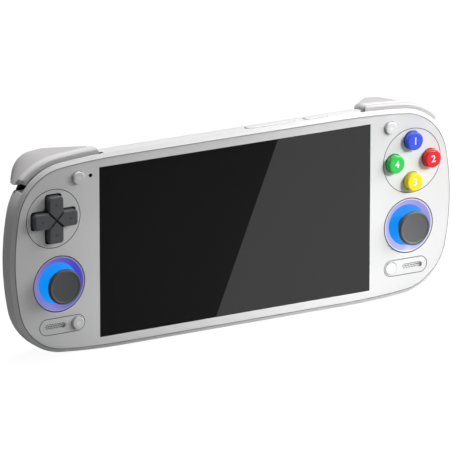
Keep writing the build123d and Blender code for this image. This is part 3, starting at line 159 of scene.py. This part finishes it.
# Camera and staging: metres, degrees for the two angles, and millimetres for the lens
CAMERA_TARGET = (-0.00469, FACE_Y * MM, 0.0416)
CAMERA_AZIMUTH = -29.9128
CAMERA_ELEVATION = 16.7222
CAMERA_DISTANCE = 2.4999
CAMERA_LENS = 511.0
CAMERA_REACH = 50.0
FLOOR_HALF = 12.0
FLOOR_DROP = 0.05 * MM
FLOOR_GREY = (0.42, 0.42, 0.42)
FLOOR_GLOW = 1.2
FLOOR_GLOW_SHARE = 0.8
WORLD_WHITE = (1.0, 1.0, 1.0)
WORLD_DIM = (0.05, 0.05, 0.05)

# The bright card that the screen reflects: the two ends of its slanted edge on the screen, in
# millimetres, its level and width in metres, and how often its edge is drawn out past each end
CARD_EDGE = ((-9.2, -34.2), (18.8, 34.2))
CARD_LEVEL = -0.35
CARD_WIDTH = (2.5, 1.2, 0.0)
CARD_STRETCH = 3.0
CARD_GLOW = 1.0


def new_material(name):
    """An empty node material; returns it with its node tree and its surface shader."""
    material = bpy.data.materials.new(name)
    material.use_nodes = True
    tree = material.node_tree
    return material, tree, tree.nodes["Principled BSDF"]


def set_surface(shader, color, roughness, metallic=0.0):
    """Plain constants on a surface shader."""
    shader.inputs["Base Color"].default_value = (*color, 1.0)
    shader.inputs["Roughness"].default_value = roughness
    shader.inputs["Metallic"].default_value = metallic


def calculate(tree, operation, first, second=0.0, third=0.0):
    """One maths node on sockets or numbers; returns its result."""
    node = tree.nodes.new("ShaderNodeMath")
    node.operation = operation
    for place, value in enumerate((first, second, third)):
        if isinstance(value, (int, float)):
            node.inputs[place].default_value = value
        else:
            tree.links.new(value, node.inputs[place])
    return node.outputs[0]


def blend_colors(tree, share, first, second):
    """A colour between two colours or sockets, by a share from 0 to 1."""
    node = tree.nodes.new("ShaderNodeMix")
    node.data_type = "RGBA"
    tree.links.new(share, node.inputs["Factor"])
    for name, value in (("A", first), ("B", second)):
        socket = next(entry for entry in node.inputs if entry.name == name and entry.type == "RGBA")
        if isinstance(value, tuple):
            socket.default_value = (*value, 1.0)
        else:
            tree.links.new(value, socket)
    return next(entry for entry in node.outputs if entry.type == "RGBA")


def object_coordinate(tree, axis):
    """The shaded point's X, Y or Z in the part's frame, in millimetres."""
    place = tree.nodes.new("ShaderNodeTexCoord")
    parts = tree.nodes.new("ShaderNodeSeparateXYZ")
    tree.links.new(place.outputs["Object"], parts.inputs[0])
    return calculate(tree, "DIVIDE", parts.outputs[axis], MM)


def face_coordinates(tree):
    """The shaded point's X, and its height about the screen's middle, in millimetres."""
    across = object_coordinate(tree, "X")
    up = calculate(tree, "SUBTRACT", object_coordinate(tree, "Z"), MIDDLE_Z)
    return across, up


def depth_coordinate(tree):
    """Depth of the shaded point behind the face, in millimetres."""
    return calculate(tree, "SUBTRACT", object_coordinate(tree, "Y"), FACE_Y)


def largest(tree, masks):
    """The largest of some masks."""
    total = masks[0]
    for mask in masks[1:]:
        total = calculate(tree, "MAXIMUM", total, mask)
    return total


def smallest(tree, masks):
    """The smallest of some masks."""
    total = masks[0]
    for mask in masks[1:]:
        total = calculate(tree, "MINIMUM", total, mask)
    return total


def length_of(tree, aside, above):
    """Length of a line with these two legs."""
    squared = calculate(tree, "MULTIPLY_ADD", aside, aside, calculate(tree, "MULTIPLY", above, above))
    return calculate(tree, "SQRT", squared)


def away_from_run(tree, across, up, place, run):
    """Distance on a plane from a short line that runs this far each way along the first axis."""
    along = calculate(tree, "ABSOLUTE", calculate(tree, "SUBTRACT", across, place[0]))
    past = calculate(tree, "MAXIMUM", calculate(tree, "SUBTRACT", along, run), 0.0)
    return length_of(tree, past, calculate(tree, "SUBTRACT", up, place[1]))


def away_from(tree, across, up, place):
    """Distance on the face from one point."""
    aside = calculate(tree, "SUBTRACT", across, place[0])
    return length_of(tree, aside, calculate(tree, "SUBTRACT", up, place[1]))


def disc_mask(tree, across, up, place, radius):
    """1 nearer to a point than this radius, else 0."""
    return calculate(tree, "LESS_THAN", away_from(tree, across, up, place), radius)


def ring_mask(tree, distance, radius):
    """1 within a seam's width of a radius, else 0."""
    off = calculate(tree, "ABSOLUTE", calculate(tree, "SUBTRACT", distance, radius))
    return calculate(tree, "LESS_THAN", off, SEAM)


def seam_mask(tree, across, up):
    """1 along the seams round the islands and dishes on the face, else 0."""
    mirrored = calculate(tree, "ABSOLUTE", across)
    masks = [
        ring_mask(tree, away_from(tree, across, up, PAD), PAD_DISC),
        ring_mask(tree, away_from(tree, across, up, CLUSTER), CLUSTER_DISC),
        ring_mask(tree, away_from(tree, mirrored, up, STICK), DISH_RADIUS + SEAM),
        ring_mask(tree, away_from_run(tree, mirrored, up, PILL, PILL_RUN), PILL_RADIUS),
    ]
    return largest(tree, masks)


def rim_mask(tree, across, up, behind):
    """1 on the thin front edge of the lip round the glass, which lies away from every island."""
    mirrored = calculate(tree, "ABSOLUTE", across)
    away_from_pill = away_from_run(tree, mirrored, up, PILL, PILL_RUN)
    masks = [
        calculate(tree, "LESS_THAN", behind, RIM_DEPTH),
        calculate(tree, "GREATER_THAN", away_from(tree, across, up, PAD), PAD_DISC + RIM_CLEAR),
        calculate(tree, "GREATER_THAN", away_from(tree, across, up, CLUSTER), CLUSTER_DISC + RIM_CLEAR),
        calculate(tree, "GREATER_THAN", away_from_pill, PILL_RADIUS + RIM_CLEAR),
    ]
    return smallest(tree, masks)


def opening_shade_mask(tree, across, up, behind):
    """1 on the walls inside the openings for the cross pad and the keys, where shade is painted."""
    mirrored = calculate(tree, "ABSOLUTE", across)
    places = [
        disc_mask(tree, across, up, PAD, PAD_DISC - RIM_CLEAR),
        disc_mask(tree, across, up, CLUSTER, CLUSTER_DISC - RIM_CLEAR),
    ]
    for place in SMALL_KEYS:
        places.append(disc_mask(tree, mirrored, up, place, SMALL_HOLE))
    masks = [
        largest(tree, places),
        calculate(tree, "GREATER_THAN", behind, INSIDE_FRONT),
        calculate(tree, "LESS_THAN", behind, INSIDE_BACK),
    ]
    return smallest(tree, masks)


def top_key_mask(tree, across, up, behind):
    """1 along the gaps round the keys in the top edge."""
    masks = []
    for middle, run in TOP_KEYS:
        away = away_from_run(tree, across, behind, (middle, TOP_KEY_DEPTH), run)
        masks.append(ring_mask(tree, away, TOP_KEY_RADIUS))
    return smallest(tree, [largest(tree, masks), calculate(tree, "GREATER_THAN", up, TOP_EDGE_Z)])


def notch_shade_mask(tree, across, up, behind):
    """1 on the small notch at each bumper's inner end, where shade is painted, else 0."""
    mirrored = calculate(tree, "ABSOLUTE", across)
    masks = [
        calculate(tree, "GREATER_THAN", mirrored, NOTCH_X[0]),
        calculate(tree, "LESS_THAN", mirrored, NOTCH_X[1]),
        calculate(tree, "GREATER_THAN", behind, NOTCH_DEPTHS[0]),
        calculate(tree, "LESS_THAN", behind, NOTCH_DEPTHS[1]),
        calculate(tree, "GREATER_THAN", up, TOP_EDGE_Z),
    ]
    return smallest(tree, masks)


def add_grain(tree, shader, scale, strength, distance):
    """A fine moulded texture as bump, with its height in metres."""
    place = tree.nodes.new("ShaderNodeTexCoord")
    noise = tree.nodes.new("ShaderNodeTexNoise")
    noise.inputs["Scale"].default_value = scale
    noise.inputs["Detail"].default_value = GRAIN_DETAIL
    bump = tree.nodes.new("ShaderNodeBump")
    bump.inputs["Strength"].default_value = strength
    bump.inputs["Distance"].default_value = distance
    tree.links.new(place.outputs["Object"], noise.inputs["Vector"])
    tree.links.new(noise.outputs["Fac"], bump.inputs["Height"])
    tree.links.new(bump.outputs["Normal"], shader.inputs["Normal"])


def add_plastic_grain(tree, shader, strength):
    """The grain that the moulded plastics share."""
    add_grain(tree, shader, PLASTIC_GRAIN_SCALE, strength, PLASTIC_GRAIN_HEIGHT)


def make_mesh_plate_material():
    """White plate of the speakers, with painted shade drawn dark in its fine holes."""
    material, tree, shader = new_material("speaker_plate")
    set_surface(shader, PLATE_WHITE, roughness=0.45)
    across, up = face_coordinates(tree)
    mirrored = calculate(tree, "ABSOLUTE", across)
    columns = calculate(tree, "DIVIDE", calculate(tree, "SUBTRACT", mirrored, SLOT_X), HOLE_PITCH)
    rows = calculate(tree, "DIVIDE", calculate(tree, "SUBTRACT", up, PILL[1]), HOLE_PITCH)
    near_row = calculate(tree, "ROUND", rows)
    # Every other row stands half a pitch aside
    row_number = calculate(tree, "ABSOLUTE", near_row)
    row_shift = calculate(tree, "MULTIPLY_ADD", row_number, -0.5, 0.5)
    shifted = calculate(tree, "ADD", columns, row_shift)
    aside = calculate(tree, "SUBTRACT", shifted, calculate(tree, "ROUND", shifted))
    above = calculate(tree, "SUBTRACT", rows, near_row)
    hole = calculate(tree, "LESS_THAN", length_of(tree, aside, above), HOLE_SHARE)
    # Painted shade in the holes
    color = blend_colors(tree, hole, PLATE_WHITE, HOLE_SHADE_BLACK)
    tree.links.new(color, shader.inputs["Base Color"])
    return material


def make_shell_material():
    """White satin plastic of the casing, dark in the seams, painted shade in openings, notches and
    microphone hole.
    """
    material, tree, shader = new_material("shell_white")
    set_surface(shader, SHELL_WHITE, roughness=0.42)
    across, up = face_coordinates(tree)
    behind = depth_coordinate(tree)
    front = calculate(tree, "LESS_THAN", behind, INSIDE_BACK)
    seams = smallest(tree, [front, seam_mask(tree, across, up)])
    hole = smallest(tree, [front, disc_mask(tree, across, up, MICROPHONE, MICROPHONE_RADIUS)])
    color = blend_colors(tree, seams, SHELL_WHITE, SEAM_GREY)
    color = blend_colors(tree, rim_mask(tree, across, up, behind), color, RIM_GREY)
    # Painted shade in the microphone hole
    color = blend_colors(tree, hole, color, HOLE_SHADE_BLACK)
    color = blend_colors(tree, top_key_mask(tree, across, up, behind), color, TOP_KEY_GREY)
    # Painted shade on the walls inside the openings and in the notches
    color = blend_colors(tree, opening_shade_mask(tree, across, up, behind), color, OPENING_SHADE_BLACK)
    color = blend_colors(tree, notch_shade_mask(tree, across, up, behind), color, OPENING_SHADE_BLACK)
    tree.links.new(color, shader.inputs["Base Color"])
    add_grain(tree, shader, scale=3500.0, strength=0.08, distance=0.05 * MM)
    return material


def make_face_material():
    """Cover glass: printed white behind, with the clear black window over the display and painted shade
    in the microphone hole.
    """
    material, tree, shader = new_material("face_glass")
    set_surface(shader, SHELL_WHITE, FACE_ROUGHNESS)
    across, up = face_coordinates(tree)
    in_width = calculate(tree, "LESS_THAN", calculate(tree, "ABSOLUTE", across), SCREEN_HALF_X)
    in_height = calculate(tree, "LESS_THAN", calculate(tree, "ABSOLUTE", up), SCREEN_HALF_Z)
    window = calculate(tree, "MULTIPLY", in_width, in_height)
    hole = disc_mask(tree, across, up, MICROPHONE, MICROPHONE_RADIUS)
    color = blend_colors(tree, seam_mask(tree, across, up), SHELL_WHITE, SEAM_GREY)
    # Painted shade in the microphone hole
    color = blend_colors(tree, hole, color, HOLE_SHADE_BLACK)
    color = blend_colors(tree, window, color, SCREEN_BLACK)
    tree.links.new(color, shader.inputs["Base Color"])
    roughness = calculate(tree, "MULTIPLY_ADD", window, -FACE_ROUGHNESS, FACE_ROUGHNESS)
    tree.links.new(roughness, shader.inputs["Roughness"])
    return material


def make_plastic(name, color, roughness, grain=PLASTIC_GRAIN):
    """A plain moulded plastic or rubber."""
    material, tree, shader = new_material(name)
    set_surface(shader, color, roughness)
    add_plastic_grain(tree, shader, grain)
    return material


def make_metal(name, color, roughness):
    """A plain metal."""
    material, tree, shader = new_material(name)
    set_surface(shader, color, roughness, metallic=1.0)
    add_grain(tree, shader, scale=900.0, strength=0.05, distance=0.05 * MM)
    return material


def make_bumper_material():
    """White satin plastic of the bumpers, with painted light on top and painted shade on the front face.
    """
    material, tree, shader = new_material("bumper_white")
    set_surface(shader, BUMPER_LIT_TOP_WHITE, SATIN)
    # Painted shade on the front face in front of this depth, painted light on the top behind it
    shaded_front = calculate(tree, "LESS_THAN", depth_coordinate(tree), BUMPER_FRONT)
    color = blend_colors(tree, shaded_front, BUMPER_LIT_TOP_WHITE, BUMPER_SHADED_FRONT_GREY)
    tree.links.new(color, shader.inputs["Base Color"])
    add_plastic_grain(tree, shader, PLASTIC_GRAIN)
    return material


def make_pad_material():
    """Dark grey plastic of the cross pad, with painted light in one crossed groove and painted shade in
    the other.
    """
    material, tree, shader = new_material("cross_pad_grey")
    set_surface(shader, PAD_GREY, roughness=0.42)
    across, up = face_coordinates(tree)
    aside = calculate(tree, "SUBTRACT", across, PAD[0])
    above = calculate(tree, "SUBTRACT", up, PAD[1])
    falling = calculate(tree, "ABSOLUTE", calculate(tree, "ADD", aside, above))
    rising = calculate(tree, "ABSOLUTE", calculate(tree, "SUBTRACT", aside, above))
    near = disc_mask(tree, across, up, PAD, PAD_GROOVE / 2)
    # Painted shade: the falling groove is drawn black
    dark = smallest(tree, [near, calculate(tree, "LESS_THAN", falling, PAD_GROOVE_WIDTH)])
    # Painted light: the rising groove is drawn lighter
    light = smallest(tree, [near, calculate(tree, "LESS_THAN", rising, PAD_GROOVE_WIDTH)])
    color = blend_colors(tree, light, PAD_GREY, LIT_GROOVE_GREY)
    color = blend_colors(tree, dark, color, SHADED_GROOVE_BLACK)
    tree.links.new(color, shader.inputs["Base Color"])
    add_plastic_grain(tree, shader, PLASTIC_GRAIN)
    return material


def make_ring_material(name, side, colors):
    """Lit dish: an azure floor, a violet wall with painted light paling it to the lower left and painted
    shade deepening it to the upper right, and a pale lip.
    """
    deep, pale, lip = colors
    material, tree, shader = new_material(name)
    across, up = face_coordinates(tree)
    centre = (side * STICK[0], STICK[1])
    distance = away_from(tree, across, up, centre)
    aside = calculate(tree, "DIVIDE", calculate(tree, "SUBTRACT", across, centre[0]), DISH_RADIUS)
    above = calculate(tree, "DIVIDE", calculate(tree, "SUBTRACT", up, centre[1]), DISH_RADIUS)
    # Painted shade deepens the wall towards the upper right, painted light pales it towards the lower
    # left
    rise = calculate(tree, "MULTIPLY", above, DISH_SHADE_SLANT[1])
    turn = calculate(tree, "MULTIPLY_ADD", aside, DISH_SHADE_SLANT[0], rise)
    glow = blend_colors(tree, calculate(tree, "ADD", turn, 0.5), pale, deep)
    on_floor = calculate(tree, "LESS_THAN", distance, DISH_FLOOR)
    glow = blend_colors(tree, on_floor, glow, DISH_AZURE)
    on_lip = calculate(tree, "GREATER_THAN", distance, DISH_LIP)
    glow = blend_colors(tree, on_lip, glow, lip)
    on_seam = calculate(tree, "GREATER_THAN", distance, DISH_RADIUS - SEAM)
    glow = blend_colors(tree, on_seam, glow, DISH_SEAM)
    set_surface(shader, DISH_BASE, roughness=0.4)
    tree.links.new(glow, shader.inputs["Emission Color"])
    shader.inputs["Emission Strength"].default_value = DISH_GLOW
    return material


def make_board_material():
    """Green circuit board with a faint pattern."""
    material, tree, shader = new_material("board_green")
    set_surface(shader, (0.02, 0.14, 0.06), roughness=0.4)
    add_grain(tree, shader, scale=600.0, strength=0.2, distance=0.1 * MM)
    return material


def make_mesh(name, points, faces, material):
    """A mesh object from points in metres and faces."""
    data = bpy.data.meshes.new(name)
    data.from_pydata(points, [], faces)
    data.update()
    piece = bpy.data.objects.new(name, data)
    bpy.context.scene.collection.objects.link(piece)
    data.materials.append(material)
    return piece


def make_prism(name, corners, place, front, back, material):
    """A straight piece between two values of Y, from corners round a place, all in millimetres."""
    count = len(corners)
    points = []
    for y in (front, back):
        for x, z in corners:
            points.append(((place[0] + x) * MM, y * MM, (MIDDLE_Z + place[1] + z) * MM))
    faces = [tuple(range(count)), tuple(range(2 * count - 1, count - 1, -1))]
    for corner in range(count):
        following = (corner + 1) % count
        faces.append((corner, corner + count, following + count, following))
    return make_mesh(name, points, faces, material)


def key_top(name):
    """Y of a key's front face, in millimetres."""
    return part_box(name)[0][1] / MM


def make_mark(name, corners, place, material, body):
    """A thin flat mark on a key's top, from corners in millimetres round the key's centre."""
    back = key_top(body) - MARK_LIFT
    mark = make_prism(name, corners, place, back - MARK_DEPTH, back, material)
    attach(mark, body)


def make_digit(digit, place, material, body):
    """A plain number on a round button."""
    data = bpy.data.curves.new("digit_" + digit, "FONT")
    data.body = digit
    data.size = DIGIT_SIZE * MM
    data.align_x = "CENTER"
    data.align_y = "CENTER"
    data.extrude = MARK_DEPTH * MM
    data.offset = DIGIT_BOLDNESS * MM
    data.materials.append(material)
    piece = bpy.data.objects.new("digit_" + digit, data)
    bpy.context.scene.collection.objects.link(piece)
    piece.rotation_euler = (pi / 2, 0.0, 0.0)
    front = key_top(body) - MARK_LIFT - MARK_DEPTH
    piece.location = (place[0] * MM, front * MM, (MIDDLE_Z + place[1]) * MM)
    bpy.context.view_layer.update()
    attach(piece, body)


def add_digits():
    """Plain numbers 1 to 4 on the round buttons, clockwise from the top."""
    white = make_plastic("mark_white", (0.85, 0.85, 0.85), MARK_ROUGHNESS, FAINT_GRAIN)
    middle_x, middle_z = CLUSTER
    places = {
        "top": (middle_x, middle_z + CLUSTER_REACH),
        "right": (middle_x + CLUSTER_REACH, middle_z),
        "bottom": (middle_x, middle_z - CLUSTER_REACH),
        "left": (middle_x - CLUSTER_REACH, middle_z),
    }
    for digit, (name, place) in zip("1234", places.items()):
        make_digit(digit, place, white, name + "_button")


def add_small_marks():
    """A plain shape on each small round button."""
    pale = make_plastic("mark_pale", (0.95, 0.95, 0.95), MARK_ROUGHNESS, FAINT_GRAIN)
    for name, (place, corners) in SMALL_MARKS.items():
        make_mark("mark_" + name, corners, place, pale, name + "_button")


def add_pad_marks():
    """A small triangle on each arm of the cross pad."""
    dark = make_plastic("mark_dark", (0.075, 0.075, 0.08), roughness=0.5, grain=FAINT_GRAIN)
    for quarter in range(4):
        angle = quarter * pi / 2
        corners = []
        for x, z in PAD_MARK:
            corners.append((x * cos(angle) - z * sin(angle), x * sin(angle) + z * cos(angle)))
        make_mark(f"mark_pad_{quarter}", corners, PAD, dark, "cross_pad")


def add_shoulder_ribs():
    """A rib under each trigger's outer end, which closes the view through the gap there, near black as
    painted shade.
    """
    # Near black as painted shade in the gap
    dark = make_plastic("rib_painted_shade", (0.015, 0.015, 0.017), roughness=0.5)
    low, high = RIB_HEIGHTS
    front, back = RIB_DEPTHS
    outline = ((RIB_INNER, low), (RIB_OUTER_LOW, low), (RIB_OUTER_HIGH, high), (RIB_INNER, high))
    for side, name in ((-1, "left"), (1, "right")):
        corners = [(side * x, z) for x, z in outline]
        if side < 0:
            corners.reverse()
        rib = make_prism("shoulder_rib_" + name, corners, (0.0, 0.0), FACE_Y + front, FACE_Y + back, dark)
        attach(rib, "console")


def paint(names, material):
    """Give these CAD nodes one material."""
    for name in names:
        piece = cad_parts[name]
        piece.data.materials.clear()
        piece.data.materials.append(material)


def both(name):
    """Node names on both sides."""
    return ["left_" + name, "right_" + name]


def dress_casing():
    """Materials of the casing, the face and the shoulder keys."""
    paint(["front_shell", "rear_shell"], make_shell_material())
    paint(["speaker_meshes"], make_mesh_plate_material())
    paint(["cover_glass"], make_face_material())
    display = make_plastic("display_black", (0.005, 0.005, 0.006), roughness=0.1, grain=FAINT_GRAIN)
    paint(["display_panel"], display)
    paint(both("bumper"), make_bumper_material())
    paint(both("trigger"), make_plastic("trigger_grey", (0.70, 0.685, 0.685), SATIN))


def dress_controls():
    """Materials of the pad, the sticks and every button."""
    paint(["cross_pad"], make_pad_material())
    rubber = make_plastic("stick_rubber", (0.105, 0.108, 0.114), roughness=0.5, grain=RUBBER_GRAIN)
    paint(both("stick_cap"), rubber)
    small = make_plastic("small_key_white", (0.82, 0.82, 0.83), roughness=0.3, grain=FAINT_GRAIN)
    paint(["select_button", "start_button", "home_button", "back_button"], small)
    paint(["volume_rocker", "power_button"], small)
    colors = {
        "top_button": ("button_blue", (0.045, 0.10, 0.80)),
        "right_button": ("button_red", (0.80, 0.012, 0.02)),
        "left_button": ("button_green", (0.035, 0.62, 0.10)),
        "bottom_button": ("button_yellow", (0.95, 0.78, 0.01)),
    }
    for button, (name, color) in colors.items():
        paint([button], make_plastic(name, color, KEY_ROUGHNESS, FAINT_GRAIN))
    paint(["left_light_ring"], make_ring_material("glow_left", -1, LEFT_DISH_SHADED))
    paint(["right_light_ring"], make_ring_material("glow_right", 1, RIGHT_DISH_LIT))


def dress_inside():
    """Materials of the pieces inside the casing."""
    boards = ["mainboard", "side_key_board", "port_board"] + both("control_board") + both("led_board")
    paint(boards, make_board_material())
    steel = make_metal("steel", (0.55, 0.55, 0.56), roughness=0.35)
    paint(["chip_shield", "cross_pad_ball", "trigger_pins", "trigger_springs"], steel)
    paint(["usb_c_port", "card_socket", "screws", "key_switches"], steel)
    paint(both("stick_housing") + both("stick_stem"), steel)
    paint(["midframe", "fin_stack"], make_metal("aluminium", (0.66, 0.66, 0.67), roughness=0.4))
    paint(["heat_pipe"], make_metal("copper", (0.75, 0.36, 0.22), roughness=0.3))
    dark = make_plastic("dark_plastic", (0.02, 0.02, 0.022), roughness=0.5)
    paint(["fan_housing", "fan_rotor", "headphone_jack", "bumper_switches", "microphone"], dark)
    paint(both("speaker") + both("stick_yoke") + both("stick_hub"), dark)
    paint(["battery"], make_plastic("battery_wrap", (0.025, 0.025, 0.028), roughness=0.35))
    silicone = make_plastic("silicone", (0.30, 0.30, 0.31), roughness=0.6)
    paint(["cross_pad_membrane", "button_membrane"], silicone)


def make_floor():
    """A pale floor that keeps soft shadows, clear to glossy rays, so no reflection shows it."""
    material, tree, shader = new_material("floor_pale")
    tree.nodes.remove(shader)
    output = tree.nodes["Material Output"]
    diffuse = tree.nodes.new("ShaderNodeBsdfDiffuse")
    diffuse.inputs["Color"].default_value = (*FLOOR_GREY, 1.0)
    bright = tree.nodes.new("ShaderNodeEmission")
    bright.inputs["Strength"].default_value = FLOOR_GLOW
    clear = tree.nodes.new("ShaderNodeBsdfTransparent")
    path = tree.nodes.new("ShaderNodeLightPath")
    seen = calculate(tree, "MULTIPLY", path.outputs["Is Camera Ray"], FLOOR_GLOW_SHARE)
    lifted = tree.nodes.new("ShaderNodeMixShader")
    tree.links.new(seen, lifted.inputs[0])
    tree.links.new(diffuse.outputs[0], lifted.inputs[1])
    tree.links.new(bright.outputs[0], lifted.inputs[2])
    hidden = tree.nodes.new("ShaderNodeMixShader")
    tree.links.new(path.outputs["Is Glossy Ray"], hidden.inputs[0])
    tree.links.new(lifted.outputs[0], hidden.inputs[1])
    tree.links.new(clear.outputs[0], hidden.inputs[2])
    tree.links.new(hidden.outputs[0], output.inputs["Surface"])
    half = FLOOR_HALF
    points = [(-half, -half, 0.0), (half, -half, 0.0), (half, half, 0.0), (-half, half, 0.0)]
    floor = make_mesh("floor", points, [(0, 1, 2, 3)], material)
    floor.location.z = -FLOOR_DROP


def make_world():
    """White behind the object, a dim even light elsewhere."""
    world = bpy.data.worlds.new("studio")
    bpy.context.scene.world = world
    world.use_nodes = True
    tree = world.node_tree
    for node in list(tree.nodes):
        tree.nodes.remove(node)
    output = tree.nodes.new("ShaderNodeOutputWorld")
    seen = tree.nodes.new("ShaderNodeBackground")
    seen.inputs["Color"].default_value = (*WORLD_WHITE, 1.0)
    dim = tree.nodes.new("ShaderNodeBackground")
    dim.inputs["Color"].default_value = (*WORLD_DIM, 1.0)
    path = tree.nodes.new("ShaderNodeLightPath")
    mix = tree.nodes.new("ShaderNodeMixShader")
    tree.links.new(path.outputs["Is Camera Ray"], mix.inputs[0])
    tree.links.new(dim.outputs[0], mix.inputs[1])
    tree.links.new(seen.outputs[0], mix.inputs[2])
    tree.links.new(mix.outputs[0], output.inputs["Surface"])


def stand_and_aim(name, data, place, target):
    """An object with this data at a place, aimed at a point."""
    piece = bpy.data.objects.new(name, data)
    bpy.context.scene.collection.objects.link(piece)
    piece.location = place
    aim = Vector(target) - Vector(place)
    piece.rotation_euler = aim.to_track_quat("-Z", "Y").to_euler()
    return piece


def make_lamp(name, place, target, size, power):
    """A square area lamp aimed at a point."""
    data = bpy.data.lights.new(name, "AREA")
    data.shape = "SQUARE"
    data.size = size
    data.energy = power
    stand_and_aim(name, data, place, target)


def make_spot(name, place, target, size, power, half_angle):
    """A soft spot lamp aimed at a point, bright in the middle and fading to its edge."""
    data = bpy.data.lights.new(name, "SPOT")
    data.shadow_soft_size = size
    data.spot_size = 2 * radians(half_angle)
    data.spot_blend = 1.0
    data.energy = power
    stand_and_aim(name, data, place, target)


def make_lamps():
    """Two spots on the face, a soft lamp from the right and one above, in metres and watts."""
    face = FACE_Y * MM
    make_spot("lamp_side", place=(0.45, -0.55, 0.35), target=(0.050, face, 0.010), size=0.06,
              power=22.8, half_angle=7.5)
    make_spot("lamp_fill", place=(0.20, -0.60, 0.45), target=(-0.056, face, 0.052), size=0.02,
              power=2.6, half_angle=3.8)
    make_lamp("lamp_key", place=(0.55, -0.28, 0.30), target=(0.05, 0.0, 0.04), size=0.35, power=2.6)
    make_lamp("lamp_top", place=(0.05, 0.10, 0.88), target=(0.0, 0.0, 0.04), size=0.4, power=6.2)


def camera_place():
    """Where the camera stands for the photo's view."""
    azimuth = radians(CAMERA_AZIMUTH)
    elevation = radians(CAMERA_ELEVATION)
    back = Vector((sin(azimuth) * cos(elevation), -cos(azimuth) * cos(elevation), sin(elevation)))
    return Vector(CAMERA_TARGET) + back * CAMERA_DISTANCE


def make_camera():
    """The camera at the photo's angle."""
    data = bpy.data.cameras.new("camera")
    data.lens = CAMERA_LENS
    data.clip_end = CAMERA_REACH
    bpy.context.scene.camera = stand_and_aim("camera", data, camera_place(), CAMERA_TARGET)


def make_reflection_card():
    """A bright card under the floor, seen only in the screen's reflection, cut on a slant."""
    eye = camera_place()
    mirror_y = FACE_Y * MM
    image = Vector((eye.x, 2 * mirror_y - eye.y, eye.z))
    ends = []
    for x, z in CARD_EDGE:
        on_screen = Vector((x * MM, mirror_y, (MIDDLE_Z + z) * MM))
        ray = on_screen - image
        share = (CARD_LEVEL - image.z) / ray.z
        ends.append(image + ray * share)
    low, high = ends
    along = (high - low) * CARD_STRETCH
    aside = Vector(CARD_WIDTH)
    first = low - along
    last = high + along
    material, tree, shader = new_material("card_bright")
    tree.nodes.remove(shader)
    glow = tree.nodes.new("ShaderNodeEmission")
    glow.inputs["Strength"].default_value = CARD_GLOW
    tree.links.new(glow.outputs[0], tree.nodes["Material Output"].inputs["Surface"])
    points = [first, last, last + aside, first + aside]
    card = make_mesh("reflection_card", points, [(0, 1, 2, 3)], material)


dress_casing()
dress_controls()
dress_inside()
add_digits()
add_small_marks()
add_pad_marks()
add_shoulder_ribs()
make_floor()
make_world()
make_lamps()
make_camera()
make_reflection_card()

scene = bpy.context.scene
scene.view_settings.view_transform = "Standard"
